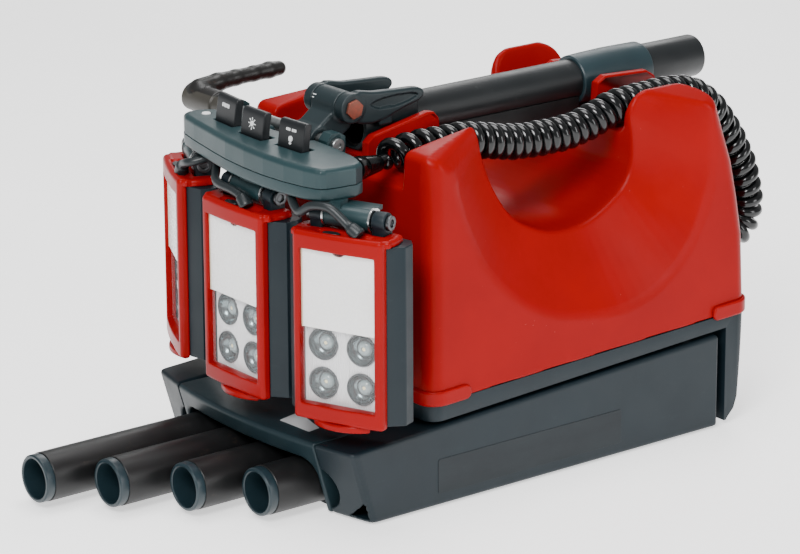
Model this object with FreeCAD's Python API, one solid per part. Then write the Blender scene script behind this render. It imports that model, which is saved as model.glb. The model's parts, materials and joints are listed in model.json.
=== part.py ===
import FreeCAD, Part
import math
import os
from FreeCAD import Vector as V

# Portable battery scene light: a carry case with a three-lamp head on a short mast,
# four stowed extension tubes and two swing-out stabiliser arms.
# Millimetres. +Z up, -Y is the lamp side, origin on the rest face under the case.

os.makedirs("parts", exist_ok=True)
for _old in os.listdir("parts"):
    if _old.endswith(".step"):
        os.remove(os.path.join("parts", _old))

# ---------------------------------------------------------------- driving dimensions
CASE_HW = 131.0          # half width of the case
SPLIT_Z, SPLIT_SLOPE = 90.5, 0.038                  # split plane between hood and lower housing
CASE_Y0, CASE_Y1 = -117.0, 220.6
HOOD = [                 # hood sections: z, half width, front y, rear y, corner radius
    (80.0, 131.9, -117.4, 220.8, 13.0),
    (112.0, 129.9, -116.4, 220.8, 13.0),
    (162.0, 126.9, -114.2, 221.0, 13.5),
    (195.0, 124.7, -112.6, 217.0, 14.0),
    (225.0, 122.7, -111.0, 212.0, 14.5),
    (255.0, 120.8, -109.2, 203.0, 15.0),
    (293.0, 118.6, -107.0, 192.0, 15.0),
]
# hand trough: section between the inner shoulders, and the rim where it meets the side walls
TROUGH_X = 90.0
TROUGH = [(-42, 300), (-41, 290), (-37, 282), (-33, 265), (-25, 244), (-9, 218), (9, 202), (41, 189), (74, 190),
          (101, 202), (117, 216), (124, 233), (124, 254), (121.5, 272), (127, 286), (138, 294), (141, 302)]
RIM = [(-110, 292), (-104, 279), (-86, 266), (-82, 243), (-73, 217), (-61, 192), (-44, 170), (-22, 151), (9, 135),
       (41, 128), (79, 124), (113, 131), (138, 145), (159, 165), (173, 188), (183, 212), (185, 240), (185, 276), (186, 292)]
VALLEY_HW, VALLEY_Z = 78.0, 258.0                   # channel along the top
WALL = 4.0

TUBE_R, TUBE_BORE_R = 20.0, 18.0
TUBE_LEN = 380.0
TUBE_Z = 24.0
TUBES = [(-66.5, -361.0), (-22.2, -321.0), (22.2, -279.0), (66.5, -241.0)]
FERR_R, FERR_BORE_R, FERR_FLANGE, FERR_LEN = 19.6, 16.25, 8.0, 30.0

ARM_IN, ARM_OUT = 93.0, 133.0
ARM_Y1 = 186.0
ARM_PIN = (113.0, 166.0)
ARM_PIN_R = 5.0
ARM_TOP_FRONT, ARM_TOP_SLOPE = 63.0, 0.0497
BOW_R, BOW_CY = 514.0, 300.5                        # bowed front edge in plan

MAST_Z, MAST_R = 282.0, 17.5
SPIGOT_R = 18.0
FOLD = (0.0, -115.0, 305.0)                         # mast knuckle axis (along X)
ROD_Y, ROD_Z, ROD_R = -140.0, 282.0, 6.0            # head tilt axis (along X)
CONSOLE_Z0, CONSOLE_SEAM, CONSOLE_Z1 = 258.6, 269.0, 286.0

LAMPS = [                                           # name, face centre x, y, yaw (deg)
    ("left", -121.5, -190.0, -26.0),
    ("mid", 0.0, -216.0, 0.0),
    ("right", 120.0, -202.0, 22.6),
]
LAMP_Z0, LAMP_Z1 = 86.0, 238.0
LAMP_AXLE_BACK, LAMP_AXLE_Z, AXLE_R = 25.0, 247.0, 4.0

KEYS = [("left", -58.0, -173.0, 12.0), ("mid", -11.0, -181.0, 4.0), ("right", 36.0, -178.0, -5.0)]
KEY_W, KEY_T, KEY_TOP = 31.0, 7.0, 307.0

CORD_R = 15.0                                       # outer radius of the curly cable
GLAND_X = 65.5
LEAD_R = 3.6                                        # lamp leads
CABLE_ROUTE = [
    (69, -120, 270.5), (66.2, -106, 272.6), (65.5, -90, 274.6), (65.5, -60, 274.3), (65.5, -32, 274), (65.5, -4, 267),
    (65.5, 24, 262), (65.5, 52, 260.6), (65.5, 80, 261.6), (65.5, 104, 266.6), (65.5, 126, 274.9), (65.5, 150, 274.6),
    (65.5, 176, 276.2), (65.5, 198, 275.4), (65.5, 217, 268.4), (65.5, 236, 251.5), (65.5, 252, 230.5), (65.5, 265, 207),
    (65.5, 274, 183), (65.5, 277.5, 162.5), (65.5, 272, 147), (65.5, 257, 139), (65.5, 234.6, 138),
]
LEADS = {                                           # in each lamp's own frame: x across, y back from its face
    "left": [(42.5, 25.6, 255.0), (42.5, 17.5, 252.8), (39.5, 11.5, 251.5), (30, 10, 248.5), (20.5, 9.2, 243.8), (17.4, 9, 237.2)],
    "mid": [(-56, 29.7, 255.8), (-49.5, 24.4, 250.6), (-38, 14.6, 247.4), (-24, 9.8, 247), (-6, 9.3, 247.4), (7.5, 9.2, 244.4), (12.6, 9.2, 237.9)],
    "right": [(-54, 26.2, 255.6), (-47.5, 19.2, 250.6), (-38, 12, 247.8), (-29.5, 10.5, 255.3), (-20.5, 10, 257.4), (-10, 10, 257.2), (-1, 10, 250.8), (7, 9.6, 244.6), (14, 9.4, 240.6), (16.6, 9.3, 238.6)],
}


# ---------------------------------------------------------------- helpers
def box(x0, x1, y0, y1, z0, z1):
    return Part.makeBox(x1 - x0, y1 - y0, z1 - z0, V(x0, y0, z0))


def cyl(p, d, r, h):
    return Part.makeCylinder(r, h, V(*p), V(*d))


def poly_z(pts, z0, z1):
    """Polygon in plan, extruded up."""
    w = Part.makePolygon([V(x, y, z0) for x, y in pts] + [V(pts[0][0], pts[0][1], z0)])
    return Part.Face(w).extrude(V(0, 0, z1 - z0))


def poly_x(pts, x0, x1):
    """Polygon in the Y-Z plane, extruded along X."""
    w = Part.makePolygon([V(x0, y, z) for y, z in pts] + [V(x0, pts[0][0], pts[0][1])])
    return Part.Face(w).extrude(V(x1 - x0, 0, 0))


def round_rect_wire(hw, y0, y1, r, z):
    a, b = hw - r, r
    c = math.sqrt(0.5)
    e = []

    def L(p, q):
        e.append(Part.LineSegment(V(p[0], p[1], z), V(q[0], q[1], z)).toShape())

    def A(cx, cy, a0):
        p = [V(cx + r * math.cos(math.radians(a0 + t)), cy + r * math.sin(math.radians(a0 + t)), z)
             for t in (0, 45, 90)]
        e.append(Part.Arc(*p).toShape())

    L((-a, y0), (a, y0)); A(a, y0 + r, -90)
    L((hw, y0 + r), (hw, y1 - r)); A(a, y1 - r, 0)
    L((a, y1), (-a, y1)); A(-a, y1 - r, 90)
    L((-hw, y1 - r), (-hw, y0 + r)); A(-a, y0 + r, 180)
    return Part.Wire(e)


def rbox(x0, x1, y0, y1, z0, z1, r):
    """Box with rounded vertical edges."""
    hw, cx = (x1 - x0) / 2.0, (x0 + x1) / 2.0
    w = round_rect_wire(hw, y0, y1, r, z0)
    s = Part.Face(w).extrude(V(0, 0, z1 - z0))
    s.translate(V(cx, 0, 0))
    return s


def soften(s, r, pick):
    """Fillet the picked edges; keep the plain shape if the kernel can't."""
    edges = [e for e in s.Edges if pick(e)]
    while edges and r > 0.4:
        try:
            t = s.makeFillet(r, edges)
            if t.isValid() and t.Volume > 0 and len(t.Solids) == len(s.Solids):
                return t
        except Exception:
            pass
        r *= 0.6
    return s


def one(s):
    s = s.removeSplitter() if hasattr(s, "removeSplitter") else s
    if s.ShapeType == "Compound" and len(s.Solids) == 1:
        return s.Solids[0]
    return s


def put(name, *solids):
    out = []
    for s in solids:
        out.extend(one(s).Solids)
    shape = out[0] if len(out) == 1 else Part.makeCompound(out)
    bad = [i for i, s in enumerate(out) if not s.isValid() or s.Volume <= 0]
    bb = shape.BoundBox
    print("%-20s solids %2d  vol %9.1f cm3  x %7.1f %7.1f  y %7.1f %7.1f  z %6.1f %6.1f%s" % (
        name, len(out), shape.Volume / 1000.0, bb.XMin, bb.XMax, bb.YMin, bb.YMax, bb.ZMin, bb.ZMax,
        "  BAD %s" % bad if bad else ""))
    shape.exportStep("parts/%s.step" % name)


def cord_tube(pts, r, name):
    """A tube of straight runs joined by tangent arcs through a route."""
    P = [V(*p) for p in pts]
    edges, cur, radii = [], P[0], []
    for i in range(1, len(P) - 1):
        a, b = P[i - 1] - P[i], P[i + 1] - P[i]
        short = min(a.Length, b.Length)
        a.normalize(); b.normalize()
        turn = math.pi - a.getAngle(b)
        cut = 0.45 * short
        rad = cut / math.tan(turn / 2.0)
        radii.append(rad)
        s, t = P[i] + a * cut, P[i] + b * cut
        mid_dir = (a + b); mid_dir.normalize()
        centre = P[i] + mid_dir * (rad / math.cos(turn / 2.0))
        m = centre - mid_dir * rad
        edges.append(Part.LineSegment(cur, s).toShape())
        edges.append(Part.Arc(s, m, t).toShape())
        cur = t
    edges.append(Part.LineSegment(cur, P[-1]).toShape())
    path = Part.Wire(edges)
    d = P[1] - P[0]
    prof = Part.Wire([Part.Circle(P[0], d, r).toShape()])
    s = path.makePipeShell([prof], True, False)
    if s.ShapeType != "Solid":
        s = Part.Solid(s)
    print("  cord %s: length %.0f mm, radii %s, volume/section*length %.4f" % (
        name, path.Length, " ".join("%.0f" % q for q in radii), s.Volume / (math.pi * r * r * path.Length)))
    return s


def mirror_x(s):
    return s.mirror(V(0, 0, 0), V(1, 0, 0))


def bow_y(x, inset=0.0):
    return BOW_CY - math.sqrt((BOW_R - inset) ** 2 - x * x)


def split_z(y):
    return SPLIT_Z + SPLIT_SLOPE * y


def arm_top(y):
    return ARM_TOP_FRONT + (y + 196.0) * ARM_TOP_SLOPE


# ---------------------------------------------------------------- case: hood
secs = [round_rect_wire(hw, y0, y1, r, z) for z, hw, y0, y1, r in HOOD]
hood = Part.makeLoft(secs, True, True)
hood = hood.cut(poly_x([(-130, 60), (240, 60), (240, split_z(240)), (-130, split_z(-130))], -150, 150))


def resample(pts, n):
    """Same curve with n evenly spaced points."""
    d = [0.0]
    for a, b in zip(pts, pts[1:]):
        d.append(d[-1] + math.hypot(b[0] - a[0], b[1] - a[1]))
    out = []
    for i in range(n):
        t, j = d[-1] * i / (n - 1.0), 0
        while j < len(pts) - 2 and d[j + 1] < t:
            j += 1
        f = (t - d[j]) / (d[j + 1] - d[j])
        out.append((pts[j][0] + f * (pts[j + 1][0] - pts[j][0]), pts[j][1] + f * (pts[j + 1][1] - pts[j][1])))
    return out


def wall_x(z):
    for (z0, h0), (z1, h1) in zip([q[:2] for q in HOOD], [q[:2] for q in HOOD][1:]):
        if z <= z1:
            return h0 + (h1 - h0) * (z - z0) / (z1 - z0)
    return HOOD[-1][1]


# hand trough right through, flaring to a wide mouth at each side wall
hood = hood.cut(poly_x(TROUGH + [(141, 330), (-42, 330)], -TROUGH_X - 0.4, TROUGH_X + 0.4))
a, b = resample(TROUGH, 21), resample(RIM, 21)
b = [(p[0] + (q[0] - p[0]) * (136.0 - TROUGH_X) / (wall_x(q[1]) - TROUGH_X),
      p[1] + (q[1] - p[1]) * (136.0 - TROUGH_X) / (wall_x(q[1]) - TROUGH_X)) for p, q in zip(a, b)]
wa = [V(TROUGH_X, y, z) for y, z in a + [(141, 340), (-42, 340)]]
wb = [V(136.0, y, z) for y, z in b + [(b[-1][0], 340), (b[0][0], 340)]]
skin = [Part.Face(Part.makePolygon(w + [w[0]])) for w in (wa, wb)]
for i in range(len(wa)):
    j = (i + 1) % len(wa)
    for tri in ((wa[i], wa[j], wb[j]), (wa[i], wb[j], wb[i])):
        skin.append(Part.Face(Part.makePolygon(list(tri) + [tri[0]])))
mouth = Part.Solid(Part.Shell(skin))
if mouth.Volume < 0:
    mouth.reverse()
hood = hood.cut(mouth).cut(mirror_x(mouth))
# channel along the top between the four humps, walls leaning out
chan = poly_z([(-1, -1), (1, -1), (1, 1), (-1, 1)], 0, 1)
w = Part.makePolygon([V(-VALLEY_HW, -130, VALLEY_Z), V(VALLEY_HW, -130, VALLEY_Z), V(VALLEY_HW + 11, -130, 300),
                      V(-VALLEY_HW - 11, -130, 300), V(-VALLEY_HW, -130, VALLEY_Z)])
chan = Part.Face(w).extrude(V(0, 360, 0))
hood = hood.cut(chan)
# tops fall away outwards
for sx in (-1, 1):
    w = Part.makePolygon([V(sx * 86, -140, 293), V(sx * 135, -140, 270), V(sx * 135, -140, 310), V(sx * 86, -140, 310), V(sx * 86, -140, 293)])
    hood = hood.cut(Part.Face(w).extrude(V(0, 380, 0)))
# front humps are lower at their front
w = poly_x([(-130, 276.5), (-96, 283.0), (-45, 291.5), (-45, 320), (-130, 320)], -140, 140)
hood = hood.cut(w)
# rear humps round off towards the rear wall
hood = hood.cut(poly_x([(150, 340), (150, 293.5), (172, 291.2), (185.4, 287), (193.8, 280.8), (198, 271), (240, 271), (240, 340)], -140, 140))
# the valley floor rounds down at its front edge, beside the saddle
for sx in (-1, 1):
    hood = hood.cut(poly_x([(-130, 246), (-112, 249), (-106, 254.5), (-97, 258.0), (-97, 264), (-130, 264)],
                           40 if sx > 0 else -86, 86 if sx > 0 else -40))
# inside
inner = Part.makeLoft([round_rect_wire(hw - WALL, y0 + WALL, y1 - WALL, r - WALL, z) for z, hw, y0, y1, r in
                       [HOOD[0], (117.0, 129.6, -116.2, 220.8, 13.0)]], True, True)
hood = hood.cut(inner).cut(rbox(-88, 88, -106, 209, 110, 174.0, 10))
hood = hood.cut(rbox(-74, 74, -102, -46, 170, VALLEY_Z - WALL, 8))
hood = hood.cut(rbox(-74, 74, 130, 192, 170, VALLEY_Z - WALL, 8))
# cable gland hole
gland_hole = cyl((GLAND_X, 200, 138), (0, 1, 0), 9.0, 30)
hood = hood.cut(gland_hole)
# seat for the bracket and the grip screws
for sy in (-86, -52, 146, 178):
    hood = hood.cut(cyl((0, sy, VALLEY_Z - 6), (0, 0, 1), 2.0, 10))
put("hood", hood)

# corner clips: raised pads that lock the hood to the lower housing, one at each corner
clip_outer = rbox(-CASE_HW - 2.6, CASE_HW + 2.6, CASE_Y0 - 2.4, CASE_Y1 + 2.6, 80, 115, 15.5)
clip_inner = rbox(-CASE_HW - 0.6, CASE_HW + 0.6, CASE_Y0 - 0.6, CASE_Y1 + 0.5, 79, 116, 13.4)
ring = clip_outer.cut(clip_inner).common(poly_x([(-130, split_z(-130) - 3), (240, split_z(240) - 3), (240, split_z(240) + 9.5), (-130, split_z(-130) + 9.5)], -150, 150))
clips = []
for x0, x1, y0, y1 in ((95, 140, -125, -78), (-140, -95, -125, -78), (95, 140, 180, 230), (-140, -95, 180, 230)):
    clips.append(ring.common(box(x0, x1, y0, y1, 80, 120)))
put("corner_clips", *clips)

# ---------------------------------------------------------------- case: lower housing
def strip_bottom(y):
    return 66.5 + (y + 196.0) * ARM_TOP_SLOPE


lh = rbox(-CASE_HW, CASE_HW, CASE_Y0, CASE_Y1, 4.0, 110, 13.0)
lh = lh.cut(poly_x([(-130, 130), (240, 130), (240, split_z(240) - 0.3), (-130, split_z(-130) - 0.3)], -150, 150))
# leave the strip above the arms, and the block behind them
for sx in (-1, 1):
    x0, x1 = (90.4, 140) if sx > 0 else (-140, -90.4)
    lh = lh.cut(poly_x([(-130, 0), (195.5, 0), (195.5, strip_bottom(195.5)), (-130, strip_bottom(-130))], x0, x1))
lh = lh.cut(box(-90.6, 90.6, -130, 193.5, 0, 68.0))
lh = lh.cut(rbox(-CASE_HW + WALL, CASE_HW - WALL, CASE_Y0 + WALL, CASE_Y1 - 9.0, 92.0, 120, 9.0))
lh = lh.cut(rbox(-86.0, 86.0, CASE_Y0 + WALL, CASE_Y1 - 20, 72.0, 120, 10.0))
# rear face leans in towards the floor
lh = lh.cut(poly_x([(240, -2), (240, 99), (220.7, 99), (216.2, 92), (213.2, 62), (209.6, 23), (206, 13), (200, 7), (196.7, 3), (196.7, -2)], -140, 140))
# bores for the arm pins
for sx in (-1, 1):
    lh = lh.cut(cyl((sx * ARM_PIN[0], ARM_PIN[1], 70), (0, 0, 1), ARM_PIN_R, 30))
put("lower_housing", lh)

# ---------------------------------------------------------------- base tray
tray = box(-87.0, 87.0, -176, -113, 0, 3.6).fuse(box(-90, 90, -113.5, 193, 0, 3.6))
for sx in (-1, 1):
    x0, x1 = (87.4, 90.0) if sx > 0 else (-90.0, -87.4)
    tray = tray.fuse(box(x0, x1, -113.5, 193, 0, 67.5))
tray = tray.fuse(box(-90, 90, 190, 193, 0, 67.5))
for sx in (-1, 1):     # lower eyes for the arm pins
    eye = box(88, ARM_PIN[0], ARM_PIN[1] - 9, ARM_PIN[1] + 9, 0.6, 4.0).fuse(cyl((ARM_PIN[0], ARM_PIN[1], 0.6), (0, 0, 1), 9.0, 3.4))
    eye = eye.cut(cyl((ARM_PIN[0], ARM_PIN[1], -1), (0, 0, 1), ARM_PIN_R, 8))
    tray = tray.fuse(eye if sx > 0 else mirror_x(eye))
put("base_tray", tray)

# tube guides: the front one is a comb under the shelf, the rear one carries stop pads
gf = box(-87.1, 87.1, -170, -150, 3.8, 58.6)
gr = box(-87.0, 87.0, 150, 164, 3.8, 67.0)
for x, y in TUBES:
    gf = gf.cut(cyl((x, -180, TUBE_Z), (0, 1, 0), TUBE_R + 0.3, 60))
    gr = gr.cut(cyl((x, 140, TUBE_Z), (0, 1, 0), TUBE_R + 0.3, 60))
put("tube_guides", gf, gr)

# ---------------------------------------------------------------- front crossbar
n = 14
xs = [-92 + 184.0 * i / n for i in range(n + 1)]
outer = [(x, bow_y(x)) for x in xs]
bar = poly_z(outer + [(92, -113.9), (-92, -113.9)], 0, 63.0)
# front face leans back towards the floor
lean = []
for z, dy in ((70.0, -2.1), (0.0, 19.0)):
    pts = [V(x, bow_y(x) + dy, z) for x, y in outer] + [V(92, -100, z), V(-92, -100, z)]
    lean.append(Part.makePolygon(pts + [pts[0]]))
bar = bar.common(Part.makeLoft(lean, True, True))
# hollow under the shelf, arch over the tubes
bar = bar.cut(box(-87.6, 87.6, -186.0, -100, -1, 59.0))
arch = box(-87.3, 87.3, -230, -150, -1, 46.5)
arch = soften(arch, 14.0, lambda e: abs(e.BoundBox.XMax - e.BoundBox.XMin) < 0.1 and abs(e.BoundBox.ZMin - 46.5) < 0.1 and e.BoundBox.YLength > 10)
bar = bar.cut(arch)
bar = bar.cut(box(-200, 200, -300, 300, -5, 1.6))
bar = soften(bar, 2.5, lambda e: e.BoundBox.ZMin > 62.5 and e.BoundBox.YMax < -190)
put("crossbar", bar)

# ---------------------------------------------------------------- stabiliser arms
def make_arm():
    pts = []
    for i in range(9):
        x = ARM_IN + (ARM_OUT - 4 - ARM_IN) * i / 8.0
        pts.append((x, bow_y(x)))
    pts += [(ARM_OUT - 1.0, bow_y(ARM_OUT) + 1.2), (ARM_OUT, bow_y(ARM_OUT) + 5.0), (ARM_OUT, ARM_Y1 - 1.5), (ARM_OUT - 1.5, ARM_Y1)]
    plan = poly_z(pts + [(ARM_PIN[0], ARM_Y1), (ARM_PIN[0], ARM_PIN[1]), (ARM_IN, ARM_PIN[1])], 1.5, 90)
    plan = plan.fuse(cyl((ARM_PIN[0], ARM_PIN[1], 1.5), (0, 0, 1), ARM_PIN[0] - ARM_IN, 88.5))
    plan = plan.cut(box(ARM_IN - 5, ARM_IN, -300, 300, 0, 100))
    prof = poly_x([(-230, 1.5), (230, 1.5), (230, arm_top(230)), (-230, arm_top(-230))], 80, 140)
    a = plan.common(prof)
    # front face leans back towards the floor
    a = a.cut(poly_x([(-230, 63.5), (bow_y(ARM_IN) + 0.0, 63.5), (bow_y(ARM_IN) + 19.0, 0.0), (-230, 0)], 80, 140).common(box(80, ARM_OUT - 30, -300, 300, -10, 100)))
    lean = []
    for z, dy in ((90.0, -8.1), (0.0, 19.0)):
        q = [V(x, bow_y(x) + dy, z) for x in (85, 95, 105, 115, 125, 134)] + [V(134, 300, z), V(85, 300, z)]
        lean.append(Part.makePolygon(q + [q[0]]))
    a = a.common(Part.makeLoft(lean, True, True))
    # channel section: open on the inner side
    cav = poly_x([(-182, 5.0), (140, 5.0), (140, arm_top(140) - 3.5), (-182, arm_top(-182) - 3.5)], 80, ARM_OUT - 3.2)
    a = a.cut(cav)
    # finger notch at the inner front corner
    a = a.cut(cyl((88.0, -230, TUBE_Z), (0, 1, 0), 18.0, 60))
    # pivot bore and the recess for the lower eye
    a = a.cut(cyl((ARM_PIN[0], ARM_PIN[1], -5), (0, 0, 1), ARM_PIN_R + 0.06, 120))
    a = a.cut(cyl((ARM_PIN[0], ARM_PIN[1], -5), (0, 0, 1), 10.5, 9.4))
    a = a.cut(box(80, ARM_PIN[0] + 10.5, ARM_PIN[1] - 10.5, 200, -5, 4.4))
    # pocket for the rubber foot
    a = a.cut(rbox(100, 128, -172, -118, -2, 5.0, 6))
    return a


arm_r = make_arm()
put("arm_right", arm_r)
put("arm_left", mirror_x(arm_r))
pad = rbox(100.3, 127.7, -171.7, -118.3, 0.0, 5.0, 5.7)
put("arm_right_pad", pad)
put("arm_left_pad", mirror_x(pad))
pins = [cyl((sx * ARM_PIN[0], ARM_PIN[1], 0.6), (0, 0, 1), ARM_PIN_R - 0.02, 86.5) for sx in (-1, 1)]
put("arm_pivot_pins", *pins)

# ---------------------------------------------------------------- inside the case
batt = rbox(-78, 78, -60, 96, 72.3, 166, 4).fuse(box(-60, -44, -10, 0, 166, 171)).fuse(box(44, 60, -10, 0, 166, 171))
put("battery_pack", batt)
board = box(-70, 70, 108, 180, 84, 86).fuse(box(-40, 0, 120, 160, 86, 100)).fuse(box(20, 50, 130, 170, 86, 96))
for x in (-62, 62):
    for y in (114, 174):
        board = board.fuse(cyl((x, y, 72.1), (0, 0, 1), 3.0, 12))
put("power_board", board)
scr = []
for sy, top in ((-86, VALLEY_Z + 4.9), (-52, VALLEY_Z + 4.9), (146, VALLEY_Z + 2.1), (178, VALLEY_Z + 2.1)):
    scr.append(cyl((0, sy, VALLEY_Z - 5.9), (0, 0, 1), 1.95, top - VALLEY_Z + 5.0).fuse(cyl((0, sy, top - 1.0), (0, 0, 1), 3.6, 1.0)))
put("saddle_screws", *scr)
gl = cyl((GLAND_X, 206, 138), (0, 1, 0), 8.8, 16.0).fuse(
    cyl((GLAND_X, 221.6, 138), (0, 1, 0), 13.5, 4.4)).fuse(Part.makeCone(12.0, 9.5, 6.4, V(GLAND_X, 226.0, 138), V(0, 1, 0)))
put("cable_gland", gl)

# ---------------------------------------------------------------- mast saddles and grip
def rib(x0, x1, pts):
    return poly_x(pts, x0, x1)


sf = box(-36, 36, -103, -33.5, VALLEY_Z + 0.1, VALLEY_Z + 5.0)
fr = [(-105, VALLEY_Z + 0.1), (-33.5, VALLEY_Z + 0.1), (-33.5, 286), (-38, 291), (-44, 292), (-98, 282), (-105, 276)]
sf = sf.fuse(rib(-36, -28, fr)).fuse(rib(28, 36, fr))
for sy in (-86, -52):
    sf = sf.cut(cyl((0, sy, VALLEY_Z - 6), (0, 0, 1), 2.0, 20)).cut(cyl((0, sy, VALLEY_Z + 3.8), (0, 0, 1), 3.9, 5))
sf = soften(sf, 2.0, lambda e: e.BoundBox.ZMin > 281)
put("saddle_front", sf)
sr = box(-36, 36, 134, 184, VALLEY_Z + 0.1, VALLEY_Z + 2.2)
rr = [(132, VALLEY_Z + 0.1), (199.5, VALLEY_Z + 0.1), (200, 272), (196, 284), (188, 289), (142, 291.5), (134, 287)]
sr = sr.fuse(rib(-36, -28, rr)).fuse(rib(28, 36, rr))
for sy in (146, 178):
    sr = sr.cut(cyl((0, sy, VALLEY_Z - 6), (0, 0, 1), 2.0, 20)).cut(cyl((0, sy, VALLEY_Z + 1.0), (0, 0, 1), 3.9, 5))
sr = soften(sr, 2.0, lambda e: e.BoundBox.ZMin > 281)
put("saddle_rear", sr)

# carry grip: the bar the hand closes on, bridging the trough under the mast
g = box(-15, 15, -33.2, 131.6, 246.0, 271.5)
g = g.cut(cyl((0, -40, MAST_Z), (0, 1, 0), MAST_R + 0.5, 180))
g = g.cut(box(-20, 20, 123.2, 140, 240, VALLEY_Z + 0.3))
g = g.cut(poly_x([(-40, 240), (-22.4, 240), (-25.0, 247), (-29.0, 258.3), (-40, 258.3)], -20, 20))
g = soften(g, 6.0, lambda e: e.BoundBox.ZMax < 247 and e.BoundBox.YLength > 50)
put("carry_grip", g)

# ---------------------------------------------------------------- mast
mt = cyl((0, -92, MAST_Z), (0, 1, 0), MAST_R, 92 + 182).cut(cyl((0, -93, MAST_Z), (0, 1, 0), MAST_R - 2.0, 300))
put("mast_tube", mt)
me = cyl((0, 182.2, MAST_Z), (0, 1, 0), MAST_R, 27.8).fuse(cyl((0, 210.0, MAST_Z), (0, 1, 0), SPIGOT_R, 61.0))
me = me.cut(cyl((0, 180, MAST_Z), (0, 1, 0), 15.5, 85))
put("mast_spigot", me)
mc = Part.makeCone(20.6, 21.8, 38.0, V(0, 134, MAST_Z), V(0, 1, 0)).fuse(Part.makeCone(21.8, 21.2, 37.8, V(0, 172, MAST_Z), V(0, 1, 0)))
mc = mc.cut(cyl((0, 130, MAST_Z), (0, 1, 0), MAST_R + 0.05, 100))
put("mast_collar", mc)

# bracket: a sleeve on the tube with two fork cheeks and their long ears
mb = cyl((0, -96, MAST_Z), (0, 1, 0), 21.2, 54)
mb = mb.fuse(box(-19.8, 24, -74, -42, 282, 301))
for sx in (-1, 1):
    x0, x1 = (20.6, 30.5) if sx > 0 else (-20.0, -10.6)
    cheek = cyl((x0, FOLD[1], FOLD[2]), (1, 0, 0), 12.0, x1 - x0)
    cheek = cheek.fuse(poly_x([(-116, 316.9), (-92, 315.5), (-60, 314), (-47, 312), (-42, 307.5), (-43, 303), (-50, 298), (-84, 289), (-96, 286.5), (-112, 293.4)], x0, x1))
    mb = mb.fuse(cheek)
mb = mb.fuse(box(-19.8, 30, -88, -74, 288, 302))
mb = mb.cut(cyl((0, -97.5, MAST_Z), (0, 1, 0), MAST_R + 0.05, 60))
mb = mb.cut(box(-27.4, 27.4, -130, -20, 240, VALLEY_Z + 5.2))
mb = mb.cut(cyl((-40, FOLD[1], FOLD[2]), (1, 0, 0), 5.0, 80))
# running room for the tongue
mb = mb.cut(cyl((-10.4, FOLD[1], FOLD[2]), (1, 0, 0), 16.0, 30.8))
put("mast_bracket", mb)
tb = cyl((-21.5, FOLD[1], FOLD[2]), (1, 0, 0), 4.95, 53.0)
hexa = []
for k in range(6):
    hexa.append((FOLD[1] + 8.0 * math.cos(math.radians(60 * k + 15)), FOLD[2] + 8.0 * math.sin(math.radians(60 * k + 15))))
tb = tb.fuse(poly_x(hexa, 30.6, 33.4)).fuse(cyl((-23.6, FOLD[1], FOLD[2]), (1, 0, 0), 8.0, 3.3))
put("fold_bolt", tb)

# tongue: turns on the fold bolt, carries the tilt rod at its lower end
tg = cyl((-10, FOLD[1], FOLD[2]), (1, 0, 0), 12.0, 30)
tg = tg.fuse(poly_x([(-126.6, 303), (-104, 298), (-109, 286), (-130, 273), (-149.5, 284), (-140, 292)], -10, 20))
tg = tg.fuse(cyl((-10, ROD_Y, ROD_Z), (1, 0, 0), 10.0, 30))
tg = tg.cut(cyl((-30, FOLD[1], FOLD[2]), (1, 0, 0), 5.03, 60))
tg = tg.cut(cyl((-30, ROD_Y, ROD_Z), (1, 0, 0), ROD_R, 60))
tg = tg.cut(cyl((0, -97.4, MAST_Z), (0, -1, 0), 0.1, 0.1))
put("tilt_tongue", tg)
rod = cyl((-104, ROD_Y, ROD_Z), (1, 0, 0), ROD_R - 0.02, 148)
put("tilt_rod", rod)

# ---------------------------------------------------------------- clamp lever
LX = -145.0
hub = cyl((-156.0, ROD_Y, ROD_Z), (1, 0, 0), 11.5, 40).fuse(cyl((-116.0, ROD_Y, ROD_Z), (1, 0, 0), 10.0, 11.6))
arm = []
prof = [(-140, 290, 8.5), (-122, 292.5, 7.6), (-104, 293.5, 6.6), (-86, 294.0, 6.4), (-70, 294.5, 6.8), (-60, 294.5, 6.2)]
for i in range(len(prof) - 1):
    a, b = prof[i], prof[i + 1]
    arm.append(Part.makeCone(a[2], b[2], math.hypot(b[0] - a[0], b[1] - a[1]), V(LX, a[0], a[1]), V(0, b[0] - a[0], b[1] - a[1]))
               if abs(a[2] - b[2]) > 1e-6 else cyl((LX, a[0], a[1]), (0, b[0] - a[0], b[1] - a[1]), a[2], math.hypot(b[0] - a[0], b[1] - a[1])))
    arm.append(Part.makeSphere(b[2], V(LX, b[0], b[1])))
arm.append(Part.makeSphere(8.5, V(LX, -140, 290)))
lever = hub
for s in arm:
    lever = lever.fuse(s)
lever = lever.cut(cyl((-140.0, ROD_Y, ROD_Z), (1, 0, 0), ROD_R + 0.06, 60))
lever = lever.cut(cyl((-160.0, ROD_Y, ROD_Z), (1, 0, 0), 7.0, 8.0))
put("clamp_lever", lever)
cap = cyl((-159.5, ROD_Y, ROD_Z), (1, 0, 0), 6.9, 7.3)
put("lever_cap", cap)

# ---------------------------------------------------------------- console
front = [(-112, -176), (-109, -181.5), (-101, -186), (-80, -191.5), (-43, -199.5), (-20, -204.0), (10, -207.5), (37, -208.6), (62, -207), (82, -203.5), (93, -200), (97.5, -197.6), (99.5, -194)]
rear = [(101.5, -184), (103, -168), (98, -158), (84, -152.5), (52, -150), (26, -150), (25, -157), (-25, -157), (-26, -150), (-60, -149), (-88, -150.5), (-103, -155), (-111, -166)]


def plan_body(z0, z1, inset, r=1.5):
    f = Part.Face(Part.makePolygon([V(x, y, z0) for x, y in front + rear] + [V(front[0][0], front[0][1], z0)]))
    if inset:
        f = f.makeOffset2D(-inset)
        f = Part.Face(f.OuterWire if hasattr(f, "OuterWire") else f)
    return f.extrude(V(0, 0, z1 - z0))


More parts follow.
